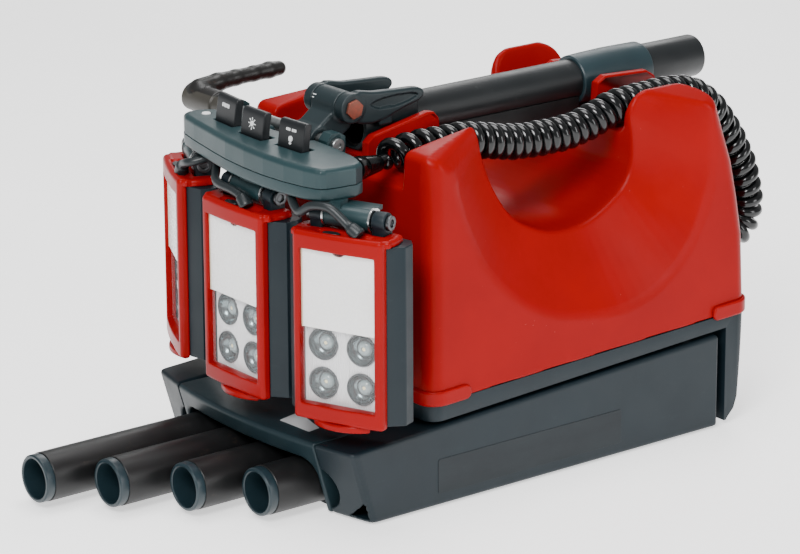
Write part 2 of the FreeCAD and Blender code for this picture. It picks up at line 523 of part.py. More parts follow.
cb = plan_body(CONSOLE_Z0, CONSOLE_SEAM - 0.15, 0)
cb = soften(cb, 3.0, lambda e: e.BoundBox.ZMax < CONSOLE_Z0 + 0.1)
cb = cb.cut(plan_body(CONSOLE_Z0 + 2.5, CONSOLE_SEAM + 5, 2.8))
# lugs on the tilt rod, one each side of the tongue
for x0, x1 in ((-99, -88), (29, 40)):
    lug = poly_x([(-152, CONSOLE_Z0 + 3.8), (-141, CONSOLE_Z0 + 9.4), (-134, 268), (-130.5, 276), (-130.5, 288), (-136, 291.5), (-144, 291.5), (-148.5, 286), (-149.4, 268.5), (-152, 268.5)], x0, x1)
    lug = lug.cut(cyl((x0 - 1, ROD_Y, ROD_Z), (1, 0, 0), ROD_R + 0.04, 20))
    cb = cb.fuse(lug)
# axle carriers under the console
axles, rings = [], []
for name, cx, cy, yaw in LAMPS:
    def place(s, cx=cx, cy=cy, yaw=yaw):
        s = s.copy()
        s.rotate(V(0, 0, 0), V(0, 0, 1), yaw)
        s.translate(V(cx, cy, 0))
        return s
    sl = cyl((-19.5, LAMP_AXLE_BACK, LAMP_AXLE_Z), (1, 0, 0), 9.0, 39.0)
    if name == "left":
        neck = box(2, 19.5, LAMP_AXLE_BACK - 6, LAMP_AXLE_BACK + 6, LAMP_AXLE_Z, CONSOLE_Z0 + 1.0)
    elif name == "right":
        neck = box(-19.5, -6, LAMP_AXLE_BACK - 6, LAMP_AXLE_BACK + 6, LAMP_AXLE_Z, CONSOLE_Z0 + 1.0)
    else:
        neck = box(-10, 10, LAMP_AXLE_BACK - 6, LAMP_AXLE_BACK + 6, LAMP_AXLE_Z, CONSOLE_Z0 + 1.0)
    if name == "right":
        neck = neck.fuse(box(-19.5, 19.5, LAMP_AXLE_BACK - 2, LAMP_AXLE_BACK + 15, 252.4, 256.0))
    s = sl.fuse(neck).cut(cyl((-30, LAMP_AXLE_BACK, LAMP_AXLE_Z), (1, 0, 0), AXLE_R, 60))
    cb = cb.fuse(place(s))
    ax = cyl((-34.0, LAMP_AXLE_BACK, LAMP_AXLE_Z), (1, 0, 0), AXLE_R - 0.02, 68.0)
    ax = ax.fuse(cyl((-36.4, LAMP_AXLE_BACK, LAMP_AXLE_Z), (1, 0, 0), 6.0, 3.0)).fuse(cyl((33.4, LAMP_AXLE_BACK, LAMP_AXLE_Z), (1, 0, 0), 6.0, 3.0))
    ax = ax.cut(cyl((34.6, LAMP_AXLE_BACK, LAMP_AXLE_Z), (1, 0, 0), 3.0, 3.0))
    axles.append(place(ax))
    for x in (-21.3, 19.7):
        w = cyl((x, LAMP_AXLE_BACK, LAMP_AXLE_Z), (1, 0, 0), 9.8, 1.6).cut(cyl((x - 1, LAMP_AXLE_BACK, LAMP_AXLE_Z), (1, 0, 0), AXLE_R, 4))
        rings.append(place(w))
put("console_bottom", cb)
put("lamp_axles", *axles)
put("axle_rings", *rings)

ct = plan_body(CONSOLE_SEAM + 0.15, CONSOLE_Z1, 0)
ct = soften(ct, 3.0, lambda e: e.BoundBox.ZMin > CONSOLE_Z1 - 0.1)
ct = ct.cut(plan_body(CONSOLE_SEAM - 5, CONSOLE_Z1 - 2.6, 2.8))
for x0, x1 in ((-100, -87), (28, 41)):      # reliefs for the lugs
    ct = ct.cut(box(x0, x1, -150.2, -120, 262, 300))
keyshapes = {}
for name, kx, ky, kyaw in KEYS:
    def kp(s, kx=kx, ky=ky, kyaw=kyaw):
        s = s.copy()
        s.rotate(V(0, 0, 0), V(0, 0, 1), kyaw * -0.6)
        s.translate(V(kx, ky, 0))
        return s
    ct = ct.cut(kp(box(-KEY_W / 2 - 0.7, KEY_W / 2 + 0.7, -5.6, 7.6, 278, 300)))
    k = poly_x([(-3.5, 279), (3.5, 279), (3.7, 287), (6.3, 304.5), (5.4, 306.6), (3.4, KEY_TOP), (0.8, 306.6), (-1.0, 304.0), (-3.5, 287)], -KEY_W / 2, KEY_W / 2)
    k = k.fuse(cyl((-KEY_W / 2, 0, 280), (1, 0, 0), 3.5, KEY_W))
    keyshapes[name] = kp(k)
ct = ct.cut(cyl((-93, -170, 284), (0, 0, 1), 4.2, 6))
put("console_top", ct)
for name in keyshapes:
    put("key_" + name, keyshapes[name])
brd = plan_body(264.0, 265.6, 6.0)
for name, kx, ky, kyaw in KEYS:
    brd = brd.fuse(box(kx - 5, kx + 5, ky - 4, ky + 4, 265.6, 274.5))
put("console_board", brd)

# strain relief of the curly cable, at the right rear of the console
d = V(69 - 84, -120 + 152, 270.5 - 275)
rl = Part.makeCone(9.0, 6.5, d.Length - 3.4, V(84, -152.0, 275), d).cut(plan_body(250, 300, 0.0))
rl = max(rl.Solids, key=lambda q: q.Volume)
put("cable_relief", rl)
put("coil_cable", cord_tube([tuple(map(float, p)) for p in CABLE_ROUTE], CORD_R, "coil_cable"))
for name in LEADS:
    lx, ly, lyaw = [q[1:] for q in LAMPS if q[0] == name][0]
    lc, ls = math.cos(math.radians(lyaw)), math.sin(math.radians(lyaw))
    route = [(lx + x * lc - y * ls, ly + x * ls + y * lc, float(z)) for x, y, z in LEADS[name]]
    put("lead_" + name, cord_tube(route, LEAD_R, "lead_" + name))

# ---------------------------------------------------------------- lamps
for name, cx, cy, yaw in LAMPS:
    def place(s, cx=cx, cy=cy, yaw=yaw):
        s = s.copy()
        s.rotate(V(0, 0, 0), V(0, 0, 1), yaw)
        s.translate(V(cx, cy, 0))
        return s
    # red bezel with its top cap
    bz = poly_z([(-40, 9.6), (-40, 2.2), (-20, 0.55), (0, 0), (20, 0.55), (40, 2.2), (40, 9.6)], LAMP_Z0, LAMP_Z1)
    bz = bz.cut(box(-33, 33, -5, 20, 99, 224))
    bz = bz.fuse(poly_z([(-40, 9), (40, 9), (44, 14), (44, 26), (38, 33), (-38, 33), (-44, 26), (-44, 14)], 232.2, LAMP_Z1))
    bz = bz.cut(rbox(-22, 30, 4, 15, 235.6, 242, 5.4))
    lip = cyl((0, 30, 80.5), (0, 0, 1), 40.0, 5.6).common(box(-26, 26, -4, 9.6, 70, 90))
    bz = bz.fuse(lip)
    # dark housing behind it, with the two strap ears
    hs = poly_z([(-39.6, 9.8), (-51.5, 19), (-51.5, 30), (-46, 38), (-30, 40), (30, 40), (46, 38), (51.5, 30), (51.5, 19), (39.6, 9.8)], 88.0, 232.0)
    hs = hs.cut(box(-36.4, 36.4, 5, 27, 92, 229))
    for x0, x1 in ((-33, -21.7), (21.7, 33)):
        ear = box(x0, x1, LAMP_AXLE_BACK - 6.5, LAMP_AXLE_BACK + 6.5, 231, LAMP_AXLE_Z).fuse(cyl((x0, LAMP_AXLE_BACK, LAMP_AXLE_Z), (1, 0, 0), 8.0, x1 - x0))
        ear = ear.cut(cyl((x0 - 1, LAMP_AXLE_BACK, LAMP_AXLE_Z), (1, 0, 0), AXLE_R + 0.05, 20))
        hs = hs.fuse(ear)
        bz = bz.cut(box(x0 - 0.2, x1 + 0.2, LAMP_AXLE_BACK - 8, LAMP_AXLE_BACK + 20, 230, 245))
    bz = bz.cut(cyl((-22, LAMP_AXLE_BACK, LAMP_AXLE_Z), (1, 0, 0), 10.6, 44))
    hs = hs.cut(cyl((-21.6, LAMP_AXLE_BACK, LAMP_AXLE_Z), (1, 0, 0), 10.6, 43.2))
    put("lamp_%s_bezel" % name, place(bz))
    put("lamp_%s_housing" % name, place(hs))
    # window: frosted diffuser above, clear ribbed plate below
    df = box(-32.9, 32.9, 5.0, 7.6, 160.1, 223.9).cut(cyl((0, 0, 223.9), (0, 1, 0), 6.0, 6.2))
    cl = box(-32.9, 32.9, 6.0, 7.6, 99.1, 160.0)
    put("lamp_%s_window" % name, place(df), place(cl))
    # LED module: tray with eight collimator lenses
    tr = box(-36.2, 36.2, 22, 26.8, 92.2, 228.8)
    lens = []
    for row in (114.7, 146.3, 177.0, 208.0):
        for x in (-17.0, 17.0):
            lens.append(Part.makeCone(7.0, 12.75, 12.5, V(x, 22.0, row), V(0, -1, 0)))
    put("lamp_%s_leds" % name, place(tr), *[place(q) for q in lens])

# ---------------------------------------------------------------- extension tubes
for i, (x, y0) in enumerate(TUBES):
    t = cyl((x, y0 + FERR_FLANGE, TUBE_Z), (0, 1, 0), TUBE_R, TUBE_LEN - FERR_FLANGE).cut(
        cyl((x, y0 - 5, TUBE_Z), (0, 1, 0), TUBE_BORE_R, TUBE_LEN + 20))
    put("tube_%d" % (i + 1), t)
    f = cyl((x, y0, TUBE_Z), (0, 1, 0), FERR_R, FERR_FLANGE - 0.05).fuse(cyl((x, y0 + 1, TUBE_Z), (0, 1, 0), TUBE_BORE_R - 0.05, FERR_LEN - 1))
    f = f.cut(cyl((x, y0 - 5, TUBE_Z), (0, 1, 0), FERR_BORE_R, FERR_LEN + 20))
    put("tube_%d_ferrule" % (i + 1), f)

print("nodes:", len([f for f in os.listdir("parts") if f.endswith(".step")]))
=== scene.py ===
import json
import math

import bpy
import numpy as np
from mathutils import Matrix, Vector

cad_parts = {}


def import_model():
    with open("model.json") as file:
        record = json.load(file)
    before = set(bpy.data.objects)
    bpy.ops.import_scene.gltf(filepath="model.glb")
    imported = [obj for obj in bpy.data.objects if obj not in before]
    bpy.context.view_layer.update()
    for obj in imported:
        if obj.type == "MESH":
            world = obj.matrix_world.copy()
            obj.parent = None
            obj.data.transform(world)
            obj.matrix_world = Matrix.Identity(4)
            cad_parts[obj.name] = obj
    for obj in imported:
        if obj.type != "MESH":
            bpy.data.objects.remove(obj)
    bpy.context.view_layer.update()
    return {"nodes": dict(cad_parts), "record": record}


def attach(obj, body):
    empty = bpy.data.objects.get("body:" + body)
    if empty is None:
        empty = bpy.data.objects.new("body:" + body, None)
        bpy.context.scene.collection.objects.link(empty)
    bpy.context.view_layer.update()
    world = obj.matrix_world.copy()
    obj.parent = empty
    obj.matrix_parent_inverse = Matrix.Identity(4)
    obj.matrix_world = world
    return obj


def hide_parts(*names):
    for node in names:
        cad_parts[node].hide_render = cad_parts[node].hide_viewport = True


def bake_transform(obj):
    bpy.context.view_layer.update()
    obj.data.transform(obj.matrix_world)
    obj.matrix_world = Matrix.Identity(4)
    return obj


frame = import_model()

MM = 0.001

# ------------------------------------------------------------------ camera
AZ, EL, ROLL = 52.152, 17.538, -0.261
DIST, TARGET = 3131.274, Vector((-59.068, 0.0, 121.84))
a_, e_ = math.radians(AZ), math.radians(EL)
back = Vector((math.sin(a_) * math.cos(e_), -math.cos(a_) * math.cos(e_), math.sin(e_)))
right = Vector((0, 0, 1)).cross(back).normalized()
up = back.cross(right)
r_ = math.radians(ROLL)
right, up = right * math.cos(r_) + up * math.sin(r_), up * math.cos(r_) - right * math.sin(r_)
cam = bpy.data.objects.new("cam", bpy.data.cameras.new("cam"))
bpy.context.scene.collection.objects.link(cam)
cam.matrix_world = Matrix(((right.x, up.x, back.x, 0), (right.y, up.y, back.y, 0), (right.z, up.z, back.z, 0), (0, 0, 0, 1)))
cam.location = (TARGET + back * DIST) * MM
cam.data.sensor_width = 36.0
cam.data.lens = 3742.641 * 36.0 / 800.0
cam.data.clip_start, cam.data.clip_end = 0.05, 60.0
bpy.context.scene.camera = cam

# ------------------------------------------------------------------ materials
MATS = {}


class N:
    """A small node tree writer."""

    def __init__(self, name):
        self.m = bpy.data.materials.new(name)
        self.m.use_nodes = True
        self.t = self.m.node_tree
        self.b = self.t.nodes["Principled BSDF"]
        self.co = self.t.nodes.new("ShaderNodeTexCoord").outputs["Object"]

    def node(self, kind, **kw):
        n = self.t.nodes.new(kind)
        for k, v in kw.items():
            if hasattr(n, k) and k not in ("Scale",):
                setattr(n, k, v)
        return n

    def link(self, a, b):
        self.t.links.new(a, b)

    def noise(self, scale, detail=3.0, rough=0.5, stretch=None, seed=0.0):
        n = self.node("ShaderNodeTexNoise")
        n.inputs["Scale"].default_value = scale
        n.inputs["Detail"].default_value = detail
        n.inputs["Roughness"].default_value = rough
        src = self.co
        if stretch or seed:
            mp = self.node("ShaderNodeMapping")
            mp.inputs["Scale"].default_value = stretch or (1, 1, 1)
            mp.inputs["Location"].default_value = (seed, seed * 0.7, seed * 1.3)
            self.link(src, mp.inputs["Vector"])
            src = mp.outputs["Vector"]
        self.link(src, n.inputs["Vector"])
        return n.outputs["Fac"]

    def ramp(self, fac, a, b, lo=0.0, hi=1.0):
        n = self.node("ShaderNodeMapRange")
        n.inputs["From Min"].default_value = a
        n.inputs["From Max"].default_value = b
        n.inputs["To Min"].default_value = lo
        n.inputs["To Max"].default_value = hi
        self.link(fac, n.inputs["Value"])
        return n.outputs["Result"]

    def mixc(self, fac, a, b):
        n = self.node("ShaderNodeMix")
        n.data_type = "RGBA"
        for sock, v in (("A", a), ("B", b)):
            s = [i for i in n.inputs if i.name == sock and i.type == "RGBA"][0]
            if isinstance(v, (tuple, list)):
                s.default_value = (*v[:3], 1)
            else:
                self.link(v, s)
        f = [i for i in n.inputs if i.name == "Factor" and i.type == "VALUE"][0]
        if isinstance(fac, (int, float)):
            f.default_value = fac
        else:
            self.link(fac, f)
        return [o for o in n.outputs if o.type == "RGBA"][0]

    def math(self, op, a, b=None):
        n = self.node("ShaderNodeMath")
        n.operation = op
        for i, v in enumerate((a, b)):
            if v is None:
                continue
            if isinstance(v, (int, float)):
                n.inputs[i].default_value = v
            else:
                self.link(v, n.inputs[i])
        return n.outputs[0]

    def bump(self, height, strength, dist):
        n = self.node("ShaderNodeBump")
        n.inputs["Strength"].default_value = strength
        n.inputs["Distance"].default_value = dist
        self.link(height, n.inputs["Height"])
        return n.outputs["Normal"]

    def pointy(self):
        return self.node("ShaderNodeNewGeometry").outputs["Pointiness"]


def plastic(name, col, dark=0.8, rough=0.42, rvar=0.08, grain=2200.0, gstr=0.18, spec=0.5, scuff=None, scuff_amt=0.0,
            coat=0.0, cloud=14.0, specks=None, metallic=0.0, stretch=None):
    n = N(name)
    base = n.mixc(n.ramp(n.noise(cloud, 4, 0.55, stretch), 0.3, 0.7), tuple(c * dark for c in col), tuple(min(1, c * (2 - dark) ** 0.5) for c in col))
    if scuff is not None:
        f = n.ramp(n.noise(70, 8, 0.72, (1, 1, 2.2), 3.1), 0.60, 0.78, 0.0, scuff_amt)
        base = n.mixc(f, base, scuff)
    if specks is not None:
        v = n.node("ShaderNodeTexVoronoi")
        v.inputs["Scale"].default_value = specks[0]
        v.inputs["Randomness"].default_value = 1.0
        n.link(n.co, v.inputs["Vector"])
        f = n.ramp(v.outputs["Distance"], specks[1], specks[1] * 0.55, 0.0, specks[3])
        f = n.math("MULTIPLY", f, n.ramp(n.noise(28, 2, 0.5, None, 5.3), 0.50, 0.56))
        base = n.mixc(f, base, specks[2])
    n.link(base, n.b.inputs["Base Color"])
    n.link(n.ramp(n.noise(38, 5, 0.6, None, 1.7), 0.25, 0.75, rough - rvar, rough + rvar), n.b.inputs["Roughness"])
    n.b.inputs["Specular IOR Level"].default_value = spec
    n.b.inputs["Metallic"].default_value = metallic
    n.b.inputs["Coat Weight"].default_value = coat
    n.b.inputs["Coat Roughness"].default_value = 0.25
    if gstr > 0:
        n.link(n.bump(n.noise(grain, 2, 0.5), gstr, 0.00015), n.b.inputs["Normal"])
    MATS[name] = n.m
    return n


plastic("red", (0.250, 0.0002, 0.0006), 0.90, 0.36, 0.05, 2600, 0.10, 0.10, specks=(150, 0.035, (0.80, 0.40, 0.32), 0.8))
plastic("red_lamp", (0.250, 0.0002, 0.0008), 0.90, 0.32, 0.05, 2600, 0.08, 0.12)
plastic("grey", (0.0075, 0.0185, 0.0235), 0.86, 0.46, 0.06, 2400, 0.22, 0.28, scuff=(0.035, 0.055, 0.062), scuff_amt=0.3)
plastic("console", (0.0100, 0.0300, 0.0340), 0.90, 0.40, 0.05, 2600, 0.16, 0.34)
plastic("dark", (0.0040, 0.0105, 0.0150), 0.84, 0.46, 0.06, 2200, 0.22, 0.28, scuff=(0.025, 0.038, 0.044), scuff_amt=0.3)
plastic("teal", (0.0130, 0.0480, 0.0580), 0.80, 0.28, 0.06, 1800, 0.12, 0.45)
plastic("black", (0.0065, 0.0070, 0.0075), 0.75, 0.42, 0.08, 2000, 0.2, 0.34, scuff=(0.06, 0.04, 0.03), scuff_amt=0.35)
plastic("lever", (0.0095, 0.0092, 0.0088), 0.70, 0.36, 0.07, 1800, 0.25, 0.38, scuff=(0.07, 0.036, 0.026), scuff_amt=0.45, cloud=22)
plastic("hub", (0.034, 0.031, 0.025), 0.80, 0.42, 0.08, 2200, 0.2, 0.45, cloud=30)
plastic("rubber", (0.016, 0.016, 0.017), 0.8, 0.60, 0.05, 1500, 0.3, 0.3)
plastic("cable", (0.0018, 0.0024, 0.0028), 0.8, 0.15, 0.04, 900, 0.03, 0.42, coat=0.12)
plastic("hose", (0.0120, 0.0165, 0.0185), 0.8, 0.38, 0.05, 1500, 0.12, 0.36)
plastic("tube", (0.0050, 0.0052, 0.0056), 0.72, 0.42, 0.08, 1500, 0.2, 0.34, scuff=(0.050, 0.034, 0.025), scuff_amt=0.55, cloud=34, stretch=(1, 0.35, 1))
plastic("mast", (0.0080, 0.0098, 0.0110), 0.78, 0.40, 0.08, 1500, 0.15, 0.36, scuff=(0.055, 0.058, 0.058), scuff_amt=0.4, cloud=26, stretch=(1, 0.3, 1))
plastic("collar", (0.0120, 0.0270, 0.0330), 0.85, 0.40, 0.06, 2200, 0.15, 0.34)
plastic("white", (0.86, 0.86, 0.855), 0.95, 0.30, 0.04, 1500, 0.05, 0.45)
plastic("battery", (0.05, 0.06, 0.075), 0.85, 0.5, 0.05, 900, 0.1, 0.4)
plastic("board", (0.02, 0.13, 0.05), 0.8, 0.4, 0.05, 900, 0.1, 0.4)
plastic("icon", (0.72, 0.74, 0.74), 0.9, 0.5, 0.04, 1500, 0.05, 0.4)
plastic("key", (0.0060, 0.0075, 0.0090), 0.85, 0.34, 0.05, 2400, 0.10, 0.36)
plastic("cream", (0.55, 0.46, 0.33), 0.9, 0.4, 0.05, 1500, 0.05, 0.4)
plastic("ferrule", (0.0085, 0.0200, 0.0260), 0.84, 0.34, 0.06, 2000, 0.12, 0.42)
plastic("knuckle", (0.0085, 0.0170, 0.0200), 0.84, 0.42, 0.06, 2200, 0.2, 0.34, scuff=(0.08, 0.10, 0.10), scuff_amt=0.3)
plastic("silver", (0.42, 0.43, 0.44), 0.9, 0.42, 0.05, 1500, 0.05, 0.3)
plastic("ribbed", (0.74, 0.74, 0.75), 0.95, 0.35, 0.04, 1500, 0.05, 0.4)
plastic("mouth", (0.33, 0.0015, 0.0020), 0.9, 0.4, 0.05, 2600, 0.1, 0.15)


def metal(name, col, rough, var=0.08, streak=(1, 1, 1), spots=None):
    n = N(name)
    c = n.mixc(n.ramp(n.noise(60, 4, 0.6, streak), 0.3, 0.7), tuple(x * 0.78 for x in col), col)
    if spots:
        c = n.mixc(n.ramp(n.noise(spots[0], 6, 0.65, None, 2.0), 0.42, 0.62), c, spots[1])
    n.link(c, n.b.inputs["Base Color"])
    n.b.inputs["Metallic"].default_value = spots[2] if spots else 1.0
    n.link(n.ramp(n.noise(120, 3, 0.5, streak, 4.0), 0.2, 0.8, rough - var, rough + var), n.b.inputs["Roughness"])
    n.link(n.bump(n.noise(700, 3, 0.5, streak), 0.08, 0.0001), n.b.inputs["Normal"])
    MATS[name] = n.m


metal("steel", (0.62, 0.63, 0.63), 0.26)
metal("rod", (0.34, 0.36, 0.36), 0.34, streak=(6, 1, 1))
metal("rust", (0.17, 0.055, 0.036), 0.55, spots=(260, (0.24, 0.05, 0.028), 0.35))
metal("bolt", (0.10, 0.105, 0.11), 0.34)
metal("optic", (0.155, 0.195, 0.205), 0.24, 0.06)
# dark rings round each optic and round the foot of its dome: painted shade, the dark crescents of shade in the optic
# cups laid down as solid dark rings
plastic("optic_rim_painted_shade", (0.020, 0.030, 0.034), 0.85, 0.30, 0.05, 1500, 0.05, 0.4)
plastic("optic_glass", (0.27, 0.335, 0.345), 0.85, 0.14, 0.03, 1500, 0.02, 0.6, coat=0.4)
metal("chrome", (0.86, 0.88, 0.88), 0.10, 0.04)
metal("plate", (0.60, 0.60, 0.60), 0.38, streak=(1, 1, 1))

n = N("label")          # brushed dark grey label film
c = n.mixc(n.ramp(n.noise(90, 5, 0.6, (1, 0.25, 1)), 0.3, 0.7), (0.0045, 0.0085, 0.0115), (0.0085, 0.0135, 0.0165))
n.link(c, n.b.inputs["Base Color"])
n.link(n.ramp(n.noise(150, 3, 0.5), 0.2, 0.8, 0.36, 0.48), n.b.inputs["Roughness"])
n.b.inputs["Specular IOR Level"].default_value = 0.25
MATS["label"] = n.m

n = N("lens")           # clear moulded optics
n.link(n.mixc(n.noise(300, 2, 0.5), (0.93, 0.96, 0.96), (1, 1, 1)), n.b.inputs["Base Color"])
n.b.inputs["Transmission Weight"].default_value = 0.92
n.b.inputs["IOR"].default_value = 1.49
n.link(n.ramp(n.noise(500, 2, 0.5), 0.2, 0.8, 0.03, 0.07), n.b.inputs["Roughness"])
MATS["lens"] = n.m

n = N("clear")          # thin clear ribbed plate: light goes straight through most of it
n.link(n.mixc(n.noise(300, 2, 0.5), (0.96, 0.98, 0.98), (1, 1, 1)), n.b.inputs["Base Color"])
n.link(n.ramp(n.noise(500, 2, 0.5), 0.2, 0.8, 0.05, 0.10), n.b.inputs["Roughness"])
n.b.inputs["IOR"].default_value = 1.45
tr = n.node("ShaderNodeBsdfTransparent")
mx = n.node("ShaderNodeMixShader")
mx.inputs["Fac"].default_value = 0.045
n.link(tr.outputs[0], mx.inputs[1])
n.link(n.b.outputs[0], mx.inputs[2])
n.link(mx.outputs[0], n.t.nodes["Material Output"].inputs["Surface"])
MATS["clear"] = n.m

n = N("frost")          # white diffuser
n.link(n.mixc(n.ramp(n.noise(18, 3, 0.5), 0.3, 0.7), (0.80, 0.80, 0.785), (0.86, 0.86, 0.85)), n.b.inputs["Base Color"])
n.b.inputs["Subsurface Weight"].default_value = 0.15
n.b.inputs["Subsurface Radius"].default_value = (0.003, 0.003, 0.003)
n.link(n.ramp(n.noise(400, 2, 0.5), 0.2, 0.8, 0.22, 0.32), n.b.inputs["Roughness"])
MATS["frost"] = n.m

n = N("led")            # pale yellow die under the optic
n.link(n.mixc(n.noise(600, 2, 0.5), (0.85, 0.74, 0.42), (0.9, 0.82, 0.55)), n.b.inputs["Base Color"])
n.link(n.ramp(n.noise(500, 2, 0.5), 0.2, 0.8, 0.3, 0.4), n.b.inputs["Roughness"])
MATS["led"] = n.m

# ------------------------------------------------------------------ mesh helpers (millimetres in, metres out)
COLL = bpy.context.scene.collection


def obj(name, V, F, mat, M=None, smooth=True, normals=None):
    V = np.asarray(V, float).reshape(-1, 3)
    if M is not None:
        Ma = np.array(M, float)
        V = V @ Ma[:3, :3].T + Ma[:3, 3]
    me = bpy.data.meshes.new(name)
    me.from_pydata((V * MM).tolist(), [], [list(map(int, f)) for f in F])
    me.validate()
    me.update()
    o = bpy.data.objects.new(name, me)
    COLL.objects.link(o)
    if smooth:
        me.polygons.foreach_set("use_smooth", [True] * len(me.polygons))
    if normals is not None:
        nn = np.asarray(normals, float)
        if M is not None:
            nn = nn @ np.array(M, float)[:3, :3].T
        me.normals_split_custom_set_from_vertices(nn.tolist())
    me.materials.append(MATS[mat])
    return o


def bake(o):
    bpy.context.view_layer.update()
    dg = bpy.context.evaluated_depsgraph_get()
    me = bpy.data.meshes.new_from_object(o.evaluated_get(dg), preserve_all_data_layers=True, depsgraph=dg)
    o.modifiers.clear()
    old = o.data
    o.data = me
    if old.users == 0:
        bpy.data.meshes.remove(old)
    return o


def cut(o, *cs, op="DIFFERENCE"):
    for c in cs:
        m = o.modifiers.new("b", "BOOLEAN")
        m.operation, m.solver, m.object = op, "EXACT", c
    bake(o)
    for c in cs:
        bpy.data.objects.remove(c)
    return o


def bevel(o, w, seg=3, ang=30.0, keep=False):
    m = o.modifiers.new("v", "BEVEL")
    m.width, m.segments, m.limit_method, m.angle_limit = w * MM, seg, "ANGLE", math.radians(ang)
    m.harden_normals = True
    m.miter_outer = "MITER_ARC"
    m.use_clamp_overlap = True
    o.data.polygons.foreach_set("use_smooth", [True] * len(o.data.polygons))
    if not keep:
        bake(o)
    return o


def prism(name, pts, h0, h1, mat, axes="xyz", M=None, w=0.0, seg=3, ang=30.0):
    """Outline pts (a, b) extruded from h0 to h1. axes "xyz": a=x b=y along z; "yzx": a=y b=z along x; "xzy": a=x b=z along y."""
    k = len(pts)
    idx = {"x": 0, "y": 1, "z": 2}
    V = np.zeros((2 * k, 3))
    for s, h in ((0, h0), (k, h1)):
        for i, (p, q) in enumerate(pts):
            V[s + i, idx[axes[0]]], V[s + i, idx[axes[1]]], V[s + i, idx[axes[2]]] = p, q, h
    area = sum(pts[i][0] * pts[(i + 1) % k][1] - pts[(i + 1) % k][0] * pts[i][1] for i in range(k))
    even = axes in ("xyz", "yzx", "zxy")
    F = [list(range(k))[::-1], list(range(k, 2 * k))] + [[i, (i + 1) % k, k + (i + 1) % k, k + i] for i in range(k)]
    if (area > 0) != even:
        F = [f[::-1] for f in F]
    o = obj(name, V, F, mat, M, smooth=False)
    if w:
        bevel(o, w, seg, ang)
    return o


def block(name, x0, x1, y0, y1, z0, z1, mat, M=None, w=0.0, seg=3):
    return prism(name, [(x0, y0), (x1, y0), (x1, y1), (x0, y1)], z0, z1, mat, "xyz", M, w, seg)


def rr(x0, x1, y0, y1, r, n=6):
    """Rounded rectangle outline, anticlockwise."""
    out = []
    for cx, cy, a in ((x1 - r, y0 + r, -90), (x1 - r, y1 - r, 0), (x0 + r, y1 - r, 90), (x0 + r, y0 + r, 180)):
        for i in range(n + 1):
            t = math.radians(a + 90.0 * i / n)
            out.append((cx + r * math.cos(t), cy + r * math.sin(t)))
    return out


def smooth_outline(pts, n=4, closed=True):
    """Catmull-Rom through the outline."""
    P = np.array(pts, float)
    k = len(P)
    out = []
    for i in range(k):
        a, b, c, d = P[(i - 1) % k], P[i], P[(i + 1) % k], P[(i + 2) % k]
        for j in range(n):
            t = j / n
            out.append(tuple(0.5 * (2 * b + (c - a) * t + (2 * a - 5 * b + 4 * c - d) * t * t + (3 * b - a - 3 * c + d) * t ** 3)))
    return out


def lathe(name, prof, mat, origin=(0, 0, 0), axis="y", seg=64, M=None, closed=False, crease=25.0):
    """prof: (along, radius) pairs turned round an axis through origin. Ends with radius 0 close themselves."""
    k = len(prof)
    V, F = [], []
    for h, r in prof:
        for j in range(seg):
            t = 2 * math.pi * j / seg
            c, s = r * math.cos(t), r * math.sin(t)
            p = {"x": (h, c, s), "y": (s, h, c), "z": (c, s, h)}[axis]
            V.append((p[0] + origin[0], p[1] + origin[1], p[2] + origin[2]))
    rings = k if closed else k - 1
    for i in range(rings):
        a, b = i * seg, ((i + 1) % k) * seg
        for j in range(seg):
            q = (j + 1) % seg
            F.append((a + j, a + q, b + q, b + j))
    if not closed:
        F.append(tuple(range(seg))[::-1])
        F.append(tuple(range((k - 1) * seg, k * seg)))
    o = obj(name, V, F, mat, M, smooth=True)
    fix_normals(o)
    sharpen(o, crease)
    return o


def fix_normals(o):
    import bmesh
    bm = bmesh.new()
    bm.from_mesh(o.data)
    bmesh.ops.remove_doubles(bm, verts=bm.verts, dist=1e-7)
    bmesh.ops.recalc_face_normals(bm, faces=bm.faces)
    bm.to_mesh(o.data)
    bm.free()


def sharpen(o, ang):
    """Marks edges sharper than ang, so smooth shading stops there."""
    import bmesh
    bm = bmesh.new()
    bm.from_mesh(o.data)
    lim = math.radians(ang)
    for e in bm.edges:
        if len(e.link_faces) == 2:
            e.smooth = e.calc_face_angle(0.0) < lim
    for f in bm.faces:
        f.smooth = True
    bm.to_mesh(o.data)
    bm.free()


def join(name, *os_):
    """One mesh out of several, keeping their materials."""
    import bmesh
    base = os_[0]
    with bpy.context.temp_override(active_object=base, selected_editable_objects=list(os_), selected_objects=list(os_), object=base):
        bpy.ops.object.join()
    base.name = name
    return base


def put(o, body, *nodes, slot=None):
    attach(o, body)
    if nodes:
        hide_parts(*nodes)
    return o


# ------------------------------------------------------------------ implicit surfaces
def f_and(a, b, r=0.0):
    """Intersection with a rounded edge of radius r."""
    if r <= 0:
        return np.maximum(a, b)
    return np.minimum(-r, np.maximum(a, b)) + np.sqrt(np.maximum(a + r, 0) ** 2 + np.maximum(b + r, 0) ** 2)


def f_cut(a, b, r=0.0):
    return f_and(a, -b, r)


def f_or(a, b, r=0.0):
    """Union with a fillet of radius r in the corner."""
    if r <= 0:
        return np.minimum(a, b)
    return np.maximum(r, np.minimum(a, b)) - np.sqrt(np.maximum(r - a, 0) ** 2 + np.maximum(r - b, 0) ** 2)


def f_box(X, Y, Z, x0, x1, y0, y1, z0, z1, r=0.0):
    qx = np.abs(X - (x0 + x1) / 2) - (x1 - x0) / 2 + r
    qy = np.abs(Y - (y0 + y1) / 2) - (y1 - y0) / 2 + r
    qz = np.abs(Z - (z0 + z1) / 2) - (z1 - z0) / 2 + r
    return np.sqrt(np.maximum(qx, 0) ** 2 + np.maximum(qy, 0) ** 2 + np.maximum(qz, 0) ** 2) + np.minimum(np.maximum(qx, np.maximum(qy, qz)), 0) - r


